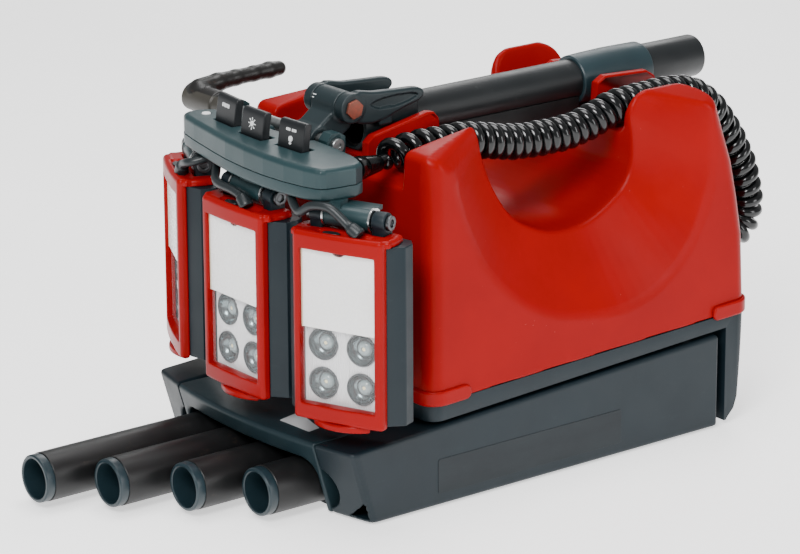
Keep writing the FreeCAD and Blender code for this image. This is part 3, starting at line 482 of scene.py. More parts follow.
def f_capsule(X, Y, Z, a, b, ra, rb):
    a, b = np.array(a, float), np.array(b, float)
    d = b - a
    L2 = float(d @ d)
    t = np.clip(((X - a[0]) * d[0] + (Y - a[1]) * d[1] + (Z - a[2]) * d[2]) / L2, 0, 1)
    return np.sqrt((X - a[0] - t * d[0]) ** 2 + (Y - a[1] - t * d[1]) ** 2 + (Z - a[2] - t * d[2]) ** 2) - (ra + (rb - ra) * t)


def f_cylx(X, Y, Z, y, z, r, x0, x1, e=0.0):
    return f_and(np.hypot(Y - y, Z - z) - r, np.abs(X - (x0 + x1) / 2) - (x1 - x0) / 2, e)


def f_cyly(X, Y, Z, x, z, r, y0, y1, e=0.0):
    return f_and(np.hypot(X - x, Z - z) - r, np.abs(Y - (y0 + y1) / 2) - (y1 - y0) / 2, e)


def f_poly(A, B, pts):
    """Signed distance to a polygon in the (A, B) plane."""
    P = np.array(pts, float)
    d = np.full(A.shape, 1e18)
    s = np.ones(A.shape)
    k = len(P)
    for i in range(k):
        a, b = P[i], P[i - 1]
        ex, ey = b - a
        wx, wy = A - a[0], B - a[1]
        t = np.clip((wx * ex + wy * ey) / (ex * ex + ey * ey), 0, 1)
        d = np.minimum(d, (wx - ex * t) ** 2 + (wy - ey * t) ** 2)
        c1, c2, c3 = B >= a[1], B < b[1], ex * wy > ey * wx
        flip = (c1 & c2 & c3) | (~c1 & ~c2 & ~c3)
        s = np.where(flip, -s, s)
    return s * np.sqrt(d)


def sdf_data(fn, lo, hi, h, steps=3):
    """A surface-net mesh of fn(X, Y, Z) = 0, pulled onto the surface, with its own normals."""
    lo, hi = np.array(lo, float), np.array(hi, float)
    n = np.ceil((hi - lo) / h).astype(int) + 1
    ax = [lo[i] + h * np.arange(n[i]) for i in range(3)]
    G = np.meshgrid(*ax, indexing="ij")
    F = fn(*G).astype(np.float64)
    ins = F < 0
    shape = np.array(F.shape) - 1
    ncell = int(np.prod(shape))
    acc = np.zeros((3, ncell))
    cnt = np.zeros(ncell)
    quads = []

    def cid(i, j, k):
        return (i * shape[1] + j) * shape[2] + k

    for d in range(3):
        sl0 = [slice(None)] * 3
        sl1 = [slice(None)] * 3
        sl0[d], sl1[d] = slice(0, -1), slice(1, None)
        a, b = F[tuple(sl0)], F[tuple(sl1)]
        cr = np.argwhere((a < 0) != (b < 0))
        va, vb = a[tuple(cr.T)], b[tuple(cr.T)]
        t = va / (va - vb)
        pos = lo + cr * h
        pos = pos.astype(float)
        pos[:, d] += t * h
        o1, o2 = [(1, 2), (2, 0), (0, 1)][d]
        ids = []
        okall = np.ones(len(cr), bool)
        for s1, s2 in ((-1, -1), (0, -1), (0, 0), (-1, 0)):
            c = cr.copy()
            c[:, o1] += s1
            c[:, o2] += s2
            ok = (c >= 0).all(1) & (c < shape).all(1)
            okall &= ok
            cc = cid(c[:, 0], c[:, 1], c[:, 2])
            ids.append(cc)
            if ok.any():
                for q in range(3):
                    acc[q] += np.bincount(cc[ok], weights=pos[ok, q], minlength=ncell)
                cnt += np.bincount(cc[ok], minlength=ncell)
        Q = np.stack(ids, 1)[okall]
        flip = (va < 0)[okall]
        Q[~flip] = Q[~flip][:, ::-1]
        quads.append(Q)
    used = np.flatnonzero(cnt > 0)
    P = (acc[:, used] / cnt[used]).T
    remap = np.full(ncell, -1)
    remap[used] = np.arange(len(used))
    Q = remap[np.concatenate(quads)]
    e = 0.12 * h

    def grad(P):
        x, y, z = P.T
        g = np.stack([fn(x + e, y, z) - fn(x - e, y, z), fn(x, y + e, z) - fn(x, y - e, z), fn(x, y, z + e) - fn(x, y, z - e)], 1) / (2 * e)
        return g

    for _ in range(steps):
        g = grad(P)
        f = fn(*P.T)
        g2 = np.maximum((g ** 2).sum(1), 0.25)
        step = (f / g2)[:, None] * g
        L = np.linalg.norm(step, axis=1)
        step *= np.minimum(1, 0.5 * h / np.maximum(L, 1e-9))[:, None]
        P = P - step
    g = grad(P)
    g /= np.maximum(np.linalg.norm(g, axis=1), 1e-9)[:, None]
    return P, Q, g


def sdf_mesh(name, fn, lo, hi, h, mat, steps=3, M=None):
    P, Q, g = sdf_data(fn, lo, hi, h, steps)
    return obj(name, P, Q, mat, M, normals=g)


def refine(name, node, mat, w=0.8, seg=3, ang=32.0, body=None, slot=None, flat=0.4):
    """A CAD node's shape again with its flat faces merged and its edges rounded."""
    import bmesh
    src = frame["nodes"][node]
    me = src.data.copy()
    o = bpy.data.objects.new(name, me)
    COLL.objects.link(o)
    me.materials.clear()
    me.materials.append(MATS[mat])
    bm = bmesh.new()
    bm.from_mesh(me)
    bmesh.ops.remove_doubles(bm, verts=bm.verts, dist=2e-6)
    for f in bm.faces:
        f.material_index = 0
    bmesh.ops.dissolve_limit(bm, angle_limit=math.radians(flat), verts=bm.verts, edges=bm.edges, delimit=set())
    bm.to_mesh(me)
    bm.free()
    if me.has_custom_normals:
        pass
    if w:
        bevel(o, w, seg, ang)
    else:
        sharpen(o, ang)
    if body:
        put(o, body, node, slot=slot)
    return o


def place(lamp):
    x, y, yaw = LAMPS[lamp]
    return Matrix.Translation((x, y, 0)) @ Matrix.Rotation(math.radians(yaw), 4, "Z")


LAMPS = {"left": (-121.5, -190.0, -26.0), "mid": (0.0, -216.0, 0.0), "right": (120.0, -202.0, 22.6)}

# ------------------------------------------------------------------ the curly cable, first of all
CABLE_ROUTE = [
    (69, -120, 270.5), (66.2, -106, 272.6), (65.5, -90, 274.6), (65.5, -60, 274.3), (65.5, -32, 274), (65.5, -4, 267),
    (65.5, 24, 262), (65.5, 52, 260.6), (65.5, 80, 261.6), (65.5, 104, 266.6), (65.5, 126, 274.9), (65.5, 150, 274.6),
    (65.5, 176, 276.2), (65.5, 198, 275.4), (65.5, 217, 268.4), (65.5, 236, 251.5), (65.5, 252, 230.5), (65.5, 265, 207),
    (65.5, 274, 183), (65.5, 277.5, 162.5), (65.5, 272, 147), (65.5, 257, 139), (65.5, 234.6, 138),
]


def spline_points(points, res=12):
    """Points of a smooth NURBS route, in millimetres."""
    cu = bpy.data.curves.new("route", "CURVE")
    cu.dimensions = "3D"
    cu.resolution_u = res
    sp = cu.splines.new("NURBS")
    sp.points.add(len(points) - 1)
    for p, q in zip(sp.points, points):
        p.co = (q[0] * MM, q[1] * MM, q[2] * MM, 1)
    sp.order_u = 3
    sp.use_endpoint_u = True
    ob = bpy.data.objects.new("route", cu)
    me = bpy.data.meshes.new_from_object(ob)
    out = np.array([v.co for v in me.vertices], float) / MM
    bpy.data.meshes.remove(me)
    bpy.data.objects.remove(ob)
    bpy.data.curves.remove(cu)
    return out


def frames(P):
    """Tangents and a non-twisting pair of normals along a line."""
    T = np.gradient(P, axis=0)
    T /= np.linalg.norm(T, axis=1)[:, None]
    U = np.zeros_like(P)
    ref = np.array([0, 0, 1.0]) if abs(T[0][2]) < 0.9 else np.array([1.0, 0, 0])
    u = ref - T[0] * (ref @ T[0])
    u /= np.linalg.norm(u)
    U[0] = u
    for i in range(1, len(P)):
        u = U[i - 1] - T[i] * (U[i - 1] @ T[i])
        U[i] = u / np.linalg.norm(u)
    return T, U, np.cross(T, U)


def respace(P, step):
    s = np.concatenate([[0], np.cumsum(np.linalg.norm(np.diff(P, axis=0), axis=1))])
    at = np.linspace(0, s[-1], int(s[-1] / step) + 2)
    return np.stack([np.interp(at, s, P[:, k]) for k in range(3)], 1), at


def tube_mesh(name, P, r, mat, sides=14, caps=True):
    """A round tube along P. r is a number or one radius per point."""
    P = np.asarray(P, float)
    R = np.full(len(P), r, float) if np.isscalar(r) else np.asarray(r, float)
    T, U, W = frames(P)
    ang = 2 * np.pi * np.arange(sides) / sides
    V = P[:, None, :] + R[:, None, None] * (np.cos(ang)[None, :, None] * U[:, None, :] + np.sin(ang)[None, :, None] * W[:, None, :])
    V = V.reshape(-1, 3)
    F = []
    for i in range(len(P) - 1):
        for j in range(sides):
            k = (j + 1) % sides
            F.append((i * sides + j, i * sides + k, (i + 1) * sides + k, (i + 1) * sides + j))
    if caps:
        F.append(tuple(range(sides))[::-1])
        F.append(tuple(range((len(P) - 1) * sides, len(P) * sides)))
    return obj(name, V, F, mat)


WIRE_R, HELIX_R = 4.75, 10.2
line = spline_points(CABLE_ROUTE, 14)
fine, at = respace(line, 0.5)
LEAD_IN = 7.0                  # plain wire between the relief and the first turn
first = fine[at <= LEAD_IN + 1.5]
fine = fine[at >= LEAD_IN]
at = at[at >= LEAD_IN] - at[at >= LEAD_IN][0]
total = at[-1]
# pitch along the route: wide in the first turns, tight over the hand gap, opened round the rear edge
pitch = np.interp(at / total, [0, 0.03, 0.09, 0.16, 0.22, 0.54, 0.60, 0.68, 0.80, 0.90, 1.0],
                  [15.0, 15.0, 13.0, 11.0, 9.9, 9.9, 10.8, 12.6, 12.2, 10.2, 9.8])
phase = np.concatenate([[0], np.cumsum(2 * np.pi * np.diff(at) / ((pitch[1:] + pitch[:-1]) / 2))])
turns = phase[-1] / (2 * np.pi)
steps = int(turns * 26)
ph = np.linspace(0, phase[-1], steps)
s_of = np.interp(ph, phase, at)
C = np.stack([np.interp(s_of, at, fine[:, k]) for k in range(3)], 1)
Tn, Un, Wn = frames(fine)
Ui = np.stack([np.interp(s_of, at, Un[:, k]) for k in range(3)], 1)
Wi = np.stack([np.interp(s_of, at, Wn[:, k]) for k in range(3)], 1)
wob = 1.0 + 0.022 * np.sin(ph * 0.37 + 1.1) + 0.018 * np.sin(ph * 0.83)
ease = np.clip(np.minimum(s_of / 9.0, (total - s_of) / 9.0), 0, 1)
rad = HELIX_R * wob * np.sin(ease * math.pi / 2)
helix = C + rad[:, None] * (np.cos(ph + 2.2)[:, None] * Ui + np.sin(ph + 2.2)[:, None] * Wi)
coil = tube_mesh("coil_cable_helix", helix, WIRE_R, "cable", sides=14)
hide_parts("coil_cable")
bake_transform(coil)
ends = np.vstack([first[0] - 2.0 * (first[4] - first[0]) / np.linalg.norm(first[4] - first[0]), first])
wire = tube_mesh("coil_cable_lead_in", ends, WIRE_R - 0.15, "cable", sides=18)
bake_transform(wire)

# ------------------------------------------------------------------ the case
HOOD = np.array([
    (80.0, 131.9, -117.4, 220.8, 13.0), (112.0, 129.9, -116.4, 220.8, 13.0), (162.0, 126.9, -114.2, 221.0, 13.5),
    (195.0, 124.7, -112.6, 217.0, 14.0), (225.0, 122.7, -111.0, 212.0, 14.5), (255.0, 120.8, -109.2, 203.0, 15.0),
    (293.0, 118.6, -107.0, 192.0, 15.0)])
TROUGH_X = 90.0
TROUGH = [(-42, 300), (-41, 290), (-37, 282), (-33, 265), (-25, 244), (-9, 218), (9, 202), (41, 189), (74, 190),
          (101, 202), (117, 216), (124, 233), (124, 254), (121.5, 272), (127, 286), (138, 294), (141, 302)]
RIM = [(-110, 292), (-104, 279), (-86, 266), (-82, 243), (-73, 217), (-61, 192), (-44, 170), (-22, 151), (9, 135),
       (41, 128), (79, 124), (113, 131), (138, 145), (159, 165), (173, 188), (183, 212), (185, 240), (185, 276), (186, 292)]


def split_z(y):
    return 90.5 + 0.038 * y


def through(pts, n):
    """Evenly spaced points on a smooth open curve through pts."""
    P = np.array(pts, float)
    Q = np.vstack([2 * P[0] - P[1], P, 2 * P[-1] - P[-2]])
    out = []
    for i in range(len(P) - 1):
        a, b, c, d = Q[i:i + 4]
        for t in np.linspace(0, 1, 12, endpoint=False):
            out.append(0.5 * (2 * b + (c - a) * t + (2 * a - 5 * b + 4 * c - d) * t * t + (3 * b - a - 3 * c + d) * t ** 3))
    out.append(P[-1])
    out = np.array(out)
    s = np.concatenate([[0], np.cumsum(np.linalg.norm(np.diff(out, axis=0), axis=1))])
    at = np.linspace(0, s[-1], n)
    return np.stack([np.interp(at, s, out[:, k]) for k in range(2)], 1)


TA, TB = through(TROUGH, 46), through(RIM, 46)
TW = np.interp(TB[:, 1], HOOD[:, 0], HOOD[:, 1])
T_T = np.linspace(-0.45, 1.15, 17)
T_Y = np.arange(-128.0, 232.0, 2.0)
T_Z = np.arange(80.0, 312.0, 2.0)


def _mouth_table():
    gy, gz = np.meshgrid(T_Y, T_Z, indexing="ij")
    out = np.zeros((len(T_T), len(T_Y), len(T_Z)))
    for i, t in enumerate(T_T):
        p = TA + (TB - TA) * (t * 40.0 / (TW - TROUGH_X))[:, None]
        poly = [tuple(q) for q in p] + [(p[-1][0], 420.0), (p[0][0], 420.0)]
        out[i] = f_poly(gy, gz, poly)
    gx, gyy, gzz = np.gradient(out, (T_T[1] - T_T[0]) * 40.0, 2.0, 2.0)
    g = np.sqrt(gx ** 2 + gyy ** 2 + gzz ** 2)
    return out / np.clip(g, 0.8, 2.4)


MOUTH = _mouth_table()
gy_, gz_ = np.meshgrid(T_Y, T_Z, indexing="ij")
STRAIGHT = f_poly(gy_, gz_, [tuple(q) for q in TA] + [(141, 420), (-42, 420)])


def look(table, *uv):
    """Linear table lookup; uv are fractional indices."""
    idx, fr = [], []
    for q, n in zip(uv, table.shape):
        q = np.clip(q, 0, n - 1.001)
        i = q.astype(int)
        idx.append(i)
        fr.append(q - i)
    out = 0.0
    for corner in range(1 << len(idx)):
        w, ii = 1.0, []
        for k in range(len(idx)):
            b = (corner >> k) & 1
            w = w * (fr[k] if b else 1 - fr[k])
            ii.append(idx[k] + b)
        out = out + w * table[tuple(ii)]
    return out


def hood_field(X, Y, Z):
    A = np.abs(X)
    hw = np.interp(Z, HOOD[:, 0], HOOD[:, 1])
    y0 = np.interp(Z, HOOD[:, 0], HOOD[:, 2])
    y1 = np.interp(Z, HOOD[:, 0], HOOD[:, 3])
    r = np.interp(Z, HOOD[:, 0], HOOD[:, 4])
    qx, qy = A - hw + r, np.abs(Y - (y0 + y1) / 2) - (y1 - y0) / 2 + r
    side = np.hypot(np.maximum(qx, 0), np.maximum(qy, 0)) + np.minimum(np.maximum(qx, qy), 0) - r
    top_y = np.interp(Y, [-130, -96, -45, 150, 162, 172, 180, 186, 191, 196, 201], [276.5, 283, 291.5, 293.5, 292.8, 291.4, 289.2, 286.6, 283, 277.5, 270])
    top = np.maximum((Z - top_y) * 0.97, (Z - (293 - (A - 86) * 0.4694)) * 0.905)
    d = f_and(side, top, 5.5)
    iy, iz = (Y - T_Y[0]) / 2.0, (Z - T_Z[0]) / 2.0
    straight = look(STRAIGHT, iy, iz)
    mouth = look(MOUTH, ((A - TROUGH_X) / 40.0 - T_T[0]) / (T_T[1] - T_T[0]), iy, iz)
    d = f_cut(d, f_and(straight, A - 118.0, 0.0), 4.5)
    d = f_cut(d, np.where(A > 74, mouth, np.maximum(mouth, 5.0)), 2.6)
    valley = f_and((A - (78 + (Z - 258) * 0.262)) * 0.967, 258 - Z, 5.0)
    d = f_cut(d, valley, 4.0)
    notch = np.maximum(f_and((Y + 97) * 0.5 + (258 - Z) * 0.86 - 0.5, A - 85, 3.0), 38 - A)
    d = f_cut(d, notch, 2.0)
    return f_and(d, (split_z(Y) - Z), 0.9)


hood = sdf_mesh("hood_shell", hood_field, (-134, -120, 82), (134, 223, 296), 2.1, "red", steps=3)
put(hood, "case", "hood", slot="red_plastic")


def clip_field(X, Y, Z):
    """A rounded pad wrapped round the corner."""
    A = np.abs(X)
    r = 14.0
    cx, cy0, cy1 = 131.2 - r, -116.9 + r, 220.9 - r
    front = Y < 50
    qx = A - cx
    qy = np.where(front, cy0 - Y, Y - cy1)
    wall = np.hypot(np.maximum(qx, 0), np.maximum(qy, 0)) + np.minimum(np.maximum(qx, qy), 0) - r
    mid = wall - 0.6                                     # middle of the pad's thickness
    zc = Z - split_z(Y) - 3.3
    endy = np.where(front, Y + 78.0, 180.0 - Y)          # where the pad ends along the side
    endx = 96.0 - A
    run = np.maximum(endy, endx)
    # pad: a flat stadium in the surface, thick 2.6
    flat = f_and(np.abs(zc) - 6.1, run, 5.4)
    return f_and(flat, np.abs(mid) - 2.0, 1.7)


parts = []
for k, (lo_, hi_) in enumerate((((90, -122, 78), (136, -70, 104)), ((-136, -122, 78), (-90, -70, 104)),
                                ((90, 172, 90), (136, 226, 112)), ((-136, 172, 90), (-90, 226, 112)))):
    parts.append(sdf_mesh("corner_clip_%d" % k, clip_field, lo_, hi_, 0.9, "red_lamp"))
put(join("corner_clips_set", *parts), "case", "corner_clips", slot="red_plastic")

# ------------------------------------------------------------------ console
front = [(-112, -176), (-109, -181.5), (-101, -186), (-80, -191.5), (-43, -199.5), (-20, -204.0), (10, -207.5), (37, -208.6), (62, -207), (82, -203.5), (93, -200), (97.5, -197.6), (99.5, -194)]
rear = [(101.5, -184), (103, -168), (98, -158), (84, -152.5), (52, -150), (26, -150), (25, -157), (-25, -157), (-26, -150), (-60, -149), (-88, -150.5), (-103, -155), (-111, -166)]
PLAN = front + rear
KEYS = [("left", -58.0, -173.0, -7.2), ("mid", -11.0, -181.0, -2.4), ("right", 36.0, -178.0, 3.0)]


def into(X, Y, kx, ky, yaw):
    c, s = math.cos(math.radians(yaw)), math.sin(math.radians(yaw))
    return (X - kx) * c + (Y - ky) * s, -(X - kx) * s + (Y - ky) * c


def top_field(X, Y, Z):
    d = f_poly(X, Y, PLAN) + 0.15
    crown = 286.0 - 0.00016 * (X + 5) ** 2 + 0.35
    d = f_and(d, Z - crown, 4.2)
    d = f_and(d, 269.2 - Z, 0.5)
    for x0, x1 in ((-100, -87), (28, 41)):
        d = f_cut(d, f_box(X, Y, Z, x0, x1, -150.4, -120, 262, 300), 0.5)
    for _, kx, ky, yaw in KEYS:
        u, v = into(X, Y, kx, ky, yaw)
        d = f_cut(d, f_box(u, v, Z, -16.2, 16.2, -5.6, 7.6, 274, 300), 0.9)
    d = f_cut(d, f_and(np.hypot(X + 93, Y + 170) - 4.2, 284.4 - Z), 0.6)
    return d


ctop = sdf_mesh("console_cover", top_field, (-115, -212, 267), (106, -146, 289), 0.85, "console")
put(ctop, "head", "console_top", slot="grey_plastic")
refine("console_base", "console_bottom", "console", 0.8, 3, 32, "head", "grey_plastic")
led_dot = lathe("status_light", [(284.2, 0), (284.2, 3.7), (285.3, 3.7), (285.8, 3.2), (286.0, 0)], "icon", (-93, -170, 0), "z", 32)
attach(led_dot, "head")

for name, kx, ky, yaw in KEYS:
    M = Matrix.Translation((kx, ky, 0)) @ Matrix.Rotation(math.radians(yaw), 4, "Z")
    prof = smooth_outline([(-3.5, 279), (3.5, 279), (3.7, 287), (4.6, 297), (6.0, 303.8), (5.6, 306.2), (3.4, 307.0), (0.8, 306.6), (-0.9, 304.0), (-2.3, 296), (-3.5, 287)], 4)
    k = prism("key_%s_cap" % name, prof, -15.5, 15.5, "key", "yzx", M, 0.9, 3, 40)
    put(k, "key_" + name, "key_" + name, slot="grey_plastic")
    tilt = math.atan2(2.6, 17.0)
    base = M @ Matrix.Translation((0, -2.55, 296)) @ Matrix.Rotation(-tilt, 4, "X")
    marks = []

    def mark(pts, base=base, marks=marks):
        marks.append(prism("m", pts, -0.28, 0.25, "icon", "xzy", base))

    if name == "left":
        for q, (x, wd) in enumerate(((-5.6, 1.5), (-3.2, 1.5), (-0.8, 1.5), (1.6, 1.5), (4.0, 1.5))):
            mark([(x, 2.2 + (q % 2) * 0.3), (x + wd, 2.2), (x + wd, 5.2), (x, 5.2)])
    if name in ("mid", "right"):
        cz = 0.2 if name == "mid" else -2.6
        ring = [(2.3 * math.cos(t), cz + 2.3 * math.sin(t)) for t in np.linspace(0, 2 * math.pi, 24, endpoint=False)]
        mark(ring)
        if name == "mid":
            for q in range(8):
                t = q * math.pi / 4
                c, s = math.cos(t), math.sin(t)
                mark([(3.1 * c - 0.35 * s, cz + 3.1 * s + 0.35 * c), (3.1 * c + 0.35 * s, cz + 3.1 * s - 0.35 * c),
                      (4.9 * c + 0.35 * s, cz + 4.9 * s - 0.35 * c), (4.9 * c - 0.35 * s, cz + 4.9 * s + 0.35 * c)])
        else:
            mark([(-1.1, cz - 4.2), (1.1, cz - 4.2), (1.1, cz - 2.7), (-1.1, cz - 2.7)])
            for q, x in enumerate((-6.0, -4.2, -2.4, 1.0, 2.8, 4.6)):
                mark([(x, 3.4), (x + 1.1, 3.4), (x + 1.1, 5.6), (x, 5.6)])
    ic = join("key_%s_icon" % name, *marks)
    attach(ic, "key_" + name)

# ------------------------------------------------------------------ lamps


def bezel_field(X, Y, Z):
    bow = 0.00138 * X * X
    d = f_and(np.abs(X) - 40.0, bow - Y, 3.6)
    d = f_and(d, Y - 9.6, 0.6)
    d = f_and(d, 86.0 - Z, 2.4)
    d = f_and(d, Z - 238.0, 4.0)
    d = f_cut(d, f_box(X, Y, Z, -33, 33, -6, 20, 99, 224, 0.8), 1.0)
    cap = f_poly(X, Y, CAP)
    cap = f_and(cap, Z - 238.0, 3.4)
    cap = f_and(cap, 232.2 - Z, 0.6)
    d = f_or(d, cap, 1.0)
    d = f_cut(d, f_box(X, Y, Z, -22, 30, 4, 15, 235.7, 244, 5.2), 1.0)
    lip = f_and(np.hypot(X, Y - 36) - 37.6, np.abs(X) - 26.0, 2.0)
    lip = f_and(f_and(lip, Y - 9.6), np.abs(Z - 83.3) - 2.8, 1.6)
    d = np.minimum(d, np.maximum(lip, -4 - Y))
    for x0, x1 in ((-33.2, -21.5), (21.5, 33.2)):
        d = f_cut(d, f_box(X, Y, Z, x0, x1, 17, 45, 228, 246), 0.6)
    d = f_cut(d, f_and(np.hypot(Y - 25, Z - 247) - 10.6, np.abs(X) - 22), 0.6)
    return d


CAP = smooth_outline([(-39.8, 6), (0, 2), (39.8, 6), (43.4, 13), (44.2, 20), (43.0, 27), (38, 32.4), (0, 33), (-38, 32.4), (-43.0, 27), (-44.2, 20), (-43.4, 13)], 4)
bz = sdf_data(bezel_field, (-47, -5, 77), (47, 36, 241), 1.15)
for name in LAMPS:
    M = place(name)
    body = "lamp_" + name
    b = obj("lamp_%s_front_bezel" % name, bz[0], bz[1], "red_lamp", M, normals=bz[2])
    put(b, body, body + "_bezel", slot="red_plastic")
    refine("lamp_%s_shell" % name, body + "_housing", "dark", 1.1, 3, 32, body, "dark_plastic")
    # frosted diffuser: thin moulded sheet with a finger notch at its upper edge
    out = [(-32.9, 160.1), (32.9, 160.1), (32.9, 223.9)] + [(5.4 * math.cos(t), 223.9 - 3.4 * math.sin(t)) for t in np.linspace(0, math.pi, 17)] + [(-32.9, 223.9)]
    df = prism("lamp_%s_diffuser" % name, out, 4.9, 7.5, "frost", "xzy", M, 0.45, 2, 40)
    rim = [prism("r", rr(x0, x1, 160.1, 223.9, 0.3, 2), 4.5, 6.4, "cream", "xzy", M, 0.2, 2) for x0, x1 in ((-32.9, -31.7), (31.7, 32.9))]
    rim.append(prism("r", [(5.6, 222.8), (31.7, 222.8), (31.7, 223.9), (5.5, 223.9)], 4.5, 6.4, "cream", "xzy", M, 0.2, 2))
    rim.append(prism("r", [(-31.7, 222.8), (-5.6, 222.8), (-5.5, 223.9), (-31.7, 223.9)], 4.5, 6.4, "cream", "xzy", M, 0.2, 2))
    # thin clear plate below it
    pl = prism("lamp_%s_clear_plate" % name, [(-32.9, 6.4), (32.9, 6.4), (32.9, 7.5), (-32.9, 7.5)], 99.1, 160.0, "clear", "xyz", M, 0.3, 2)
    win = join("lamp_%s_window_set" % name, df, pl, *rim)
    put(win, body, body + "_window", slot="window")
    # LED tray, white ribbed reflector sheet and eight optics standing through it
    tray = [prism("t", rr(-36.2, 36.2, 92.2, 228.8, 3, 4), 22.0, 26.8, "white", "xzy", M, 0.5, 2)]
    tray.append(prism("t", [(-33.2, 160.6), (33.2, 160.6), (33.2, 228.0), (-33.2, 228.0)], 10.4, 11.0, "white", "xzy", M, 0.2, 2))
    xs = np.linspace(-34.0, 34.0, 34 * 6 + 1)
    pts = [(x, 11.4 - 0.75 * abs(math.sin((x + 34.0) / 2.0 * math.pi)) ** 0.8) for x in xs] + [(34.0, 12.6), (-34.0, 12.6)]
    sheet = prism("sheet", pts, 96.0, 160.4, "ribbed", "xyz")
    holes = [lathe("h", [(5.0, 0), (5.0, 12.95), (16.0, 12.95), (16.0, 0)], "white", (x, 0, row), "y", 40) for row in (114.7, 146.3) for x in (-17.0, 17.0)]
    cut(sheet, *holes)
    sharpen(sheet, 50)
    sheet.data.transform(Matrix.Scale(1, 4))
    Mm = M.copy()
    Mm.translation = Mm.translation * MM
    sheet.data.transform(Mm)
    tray.append(sheet)
    for row in (114.7, 146.3, 177.0, 208.0):
        for x in (-17.0, 17.0):
            # the rim and well rings carry painted shade: dark colour standing in for the shade inside each optic cup
            tray.append(lathe("rim", [(9.5, 12.95), (9.1, 12.6), (9.2, 12.1), (10.4, 11.6), (11.4, 11.6), (11.4, 12.95)], "optic_rim_painted_shade", (x, 0, row), "y", 48, M, closed=True))
            tray.append(lathe("cup", [(10.6, 11.7), (12.2, 11.2), (14.0, 10.3), (15.6, 9.0), (16.4, 7.6), (16.6, 6.5), (21.0, 6.5), (21.95, 6.5), (21.95, 7.0), (14.0, 11.9), (10.9, 11.9)], "optic", (x, 0, row), "y", 48, M, crease=40, closed=True))
            tray.append(lathe("well", [(16.0, 7.6), (15.4, 7.2), (15.6, 6.5), (16.8, 6.1), (17.4, 7.4)], "optic_rim_painted_shade", (x, 0, row), "y", 40, M, closed=True))
            tray.append(lathe("dome", [(21.0, 0), (21.0, 6.5), (16.4, 6.4), (14.8, 5.9), (13.7, 4.9), (13.0, 3.6), (12.8, 2.4), (13.3, 1.7), (14.2, 1.5), (14.2, 0)], "optic_glass", (x, 0, row), "y", 36, M, crease=50))
            tray.append(lathe("die", [(14.6, 0), (14.6, 1.45), (13.7, 1.45), (13.5, 1.1), (13.4, 0)], "led", (x, 0, row), "y", 24, M))
    leds = join("lamp_%s_optics" % name, *tray)
    put(leds, body, body + "_leds", slot="reflector")
    # grey plug beside the lead in the recess of the cap
    pg = prism("lamp_%s_plug" % name, [(-8.5 + 7.6 * math.cos(t), 9.6 + 3.9 * math.sin(t)) for t in np.linspace(0, 2 * math.pi, 32, endpoint=False)], 235.8, 237.6, "hose", "xyz", M, 0.6, 2)
    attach(pg, body)

# ------------------------------------------------------------------ lamp leads
LEADS = {
    "left": [(42.5, 25.6, 255.0), (42.5, 17.5, 252.8), (39.5, 11.5, 251.5), (30, 10, 248.5), (20.5, 9.2, 243.8), (17.4, 9, 237.2)],
    "mid": [(-56, 29.7, 255.8), (-49.5, 24.4, 250.6), (-38, 14.6, 247.4), (-24, 9.8, 247), (-6, 9.3, 247.4), (7.5, 9.2, 244.4), (12.6, 9.2, 237.9)],
    "right": [(-54, 26.2, 255.6), (-47.5, 19.2, 250.6), (-38, 12, 247.8), (-29.5, 10.5, 255.3), (-20.5, 10, 257.4), (-10, 10, 257.2), (-1, 10, 250.8), (7, 9.6, 244.6), (14, 9.4, 240.6), (16.6, 9.3, 238.6)],
}
for name, pts in LEADS.items():
    M = place(name)
    P = spline_points(pts, 14)
    P, at_l = respace(P, 0.7)
    L = at_l[-1]
    Rr = np.interp(L - at_l, [0, 1.0, 9.0, 11.0, 14.0], [5.4, 5.9, 5.3, 3.9, 3.5])
    t = tube_mesh("lead_%s_hose" % name, P, Rr, "hose", 20)
    t.data.transform(Matrix.Translation((0, 0, 0)))
    A = np.array(M, float)
    co = np.array([v.co for v in t.data.vertices], float) / MM
    co = co @ A[:3, :3].T + A[:3, 3]
    t.data.vertices.foreach_set("co", (co * MM).ravel())
    t.data.update()
    sharpen(t, 40)
    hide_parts("lead_" + name)
    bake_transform(t)

# ------------------------------------------------------------------ cable relief at the console
r0, r1 = Vector((84, -152, 275)), Vector((69, -120, 270.5))
L = (r1 - r0).length
Mr = Matrix.Translation(r0) @ (r1 - r0).to_track_quat("Y", "Z").to_matrix().to_4x4()
prof = [(-6, 0), (-6, 9.4), (4.5, 9.4), (5.5, 8.8)]
h = 6.2
for q in range(9):
    rb = 8.7 - 0.24 * q
    prof += [(h, rb - 2.4), (h + 1.0, rb - 2.4), (h + 1.3, rb), (h + 2.5, rb)]
    h += 2.95
prof += [(h, 5.2), (L - 1.0, 5.0), (L - 0.6, 0)]
rl = lathe("cable_relief_ribbed", prof, "cable", (0, 0, 0), "y", 40, Mr, crease=35)
put(rl, "head", "cable_relief", slot="rubber")

# ------------------------------------------------------------------ hard-surface pieces from the frame's own shapes
for node, mat, w, body, sl in (
        ("lower_housing", "dark", 1.3, "case", "dark_plastic"), ("base_tray", "dark", 0.6, "case", "dark_plastic"),
        ("tube_guides", "dark", 0.6, "case", "dark_plastic"), 
        ("carry_grip", "black", 1.2, "case", "dark_plastic"), ("cable_gland", "black", 0.6, "case", "black_plastic"),
        ("saddle_front", "red", 1.6, "case", "red_plastic"), ("saddle_rear", "red", 1.6, "case", "red_plastic"),
        ("fold_bolt", "rust", 0.5, "case", "rusty_steel"), ("lever_cap", "red_lamp", 0.8, "lever", "red_plastic"),
        ("arm_right_pad", "rubber", 0.8, "arm_right", "rubber"), ("arm_left_pad", "rubber", 0.8, "arm_left", "rubber"),
        ("lamp_axles", "bolt", 0.4, "head", "steel")):
    refine(node + "_shape", node, mat, w, 3, 32, body, sl)

# ------------------------------------------------------------------ crossbar and arms
BOW_R, BOW_CY = 514.0, 300.5


def bow(x):
    return BOW_CY - np.sqrt(BOW_R ** 2 - x * x)


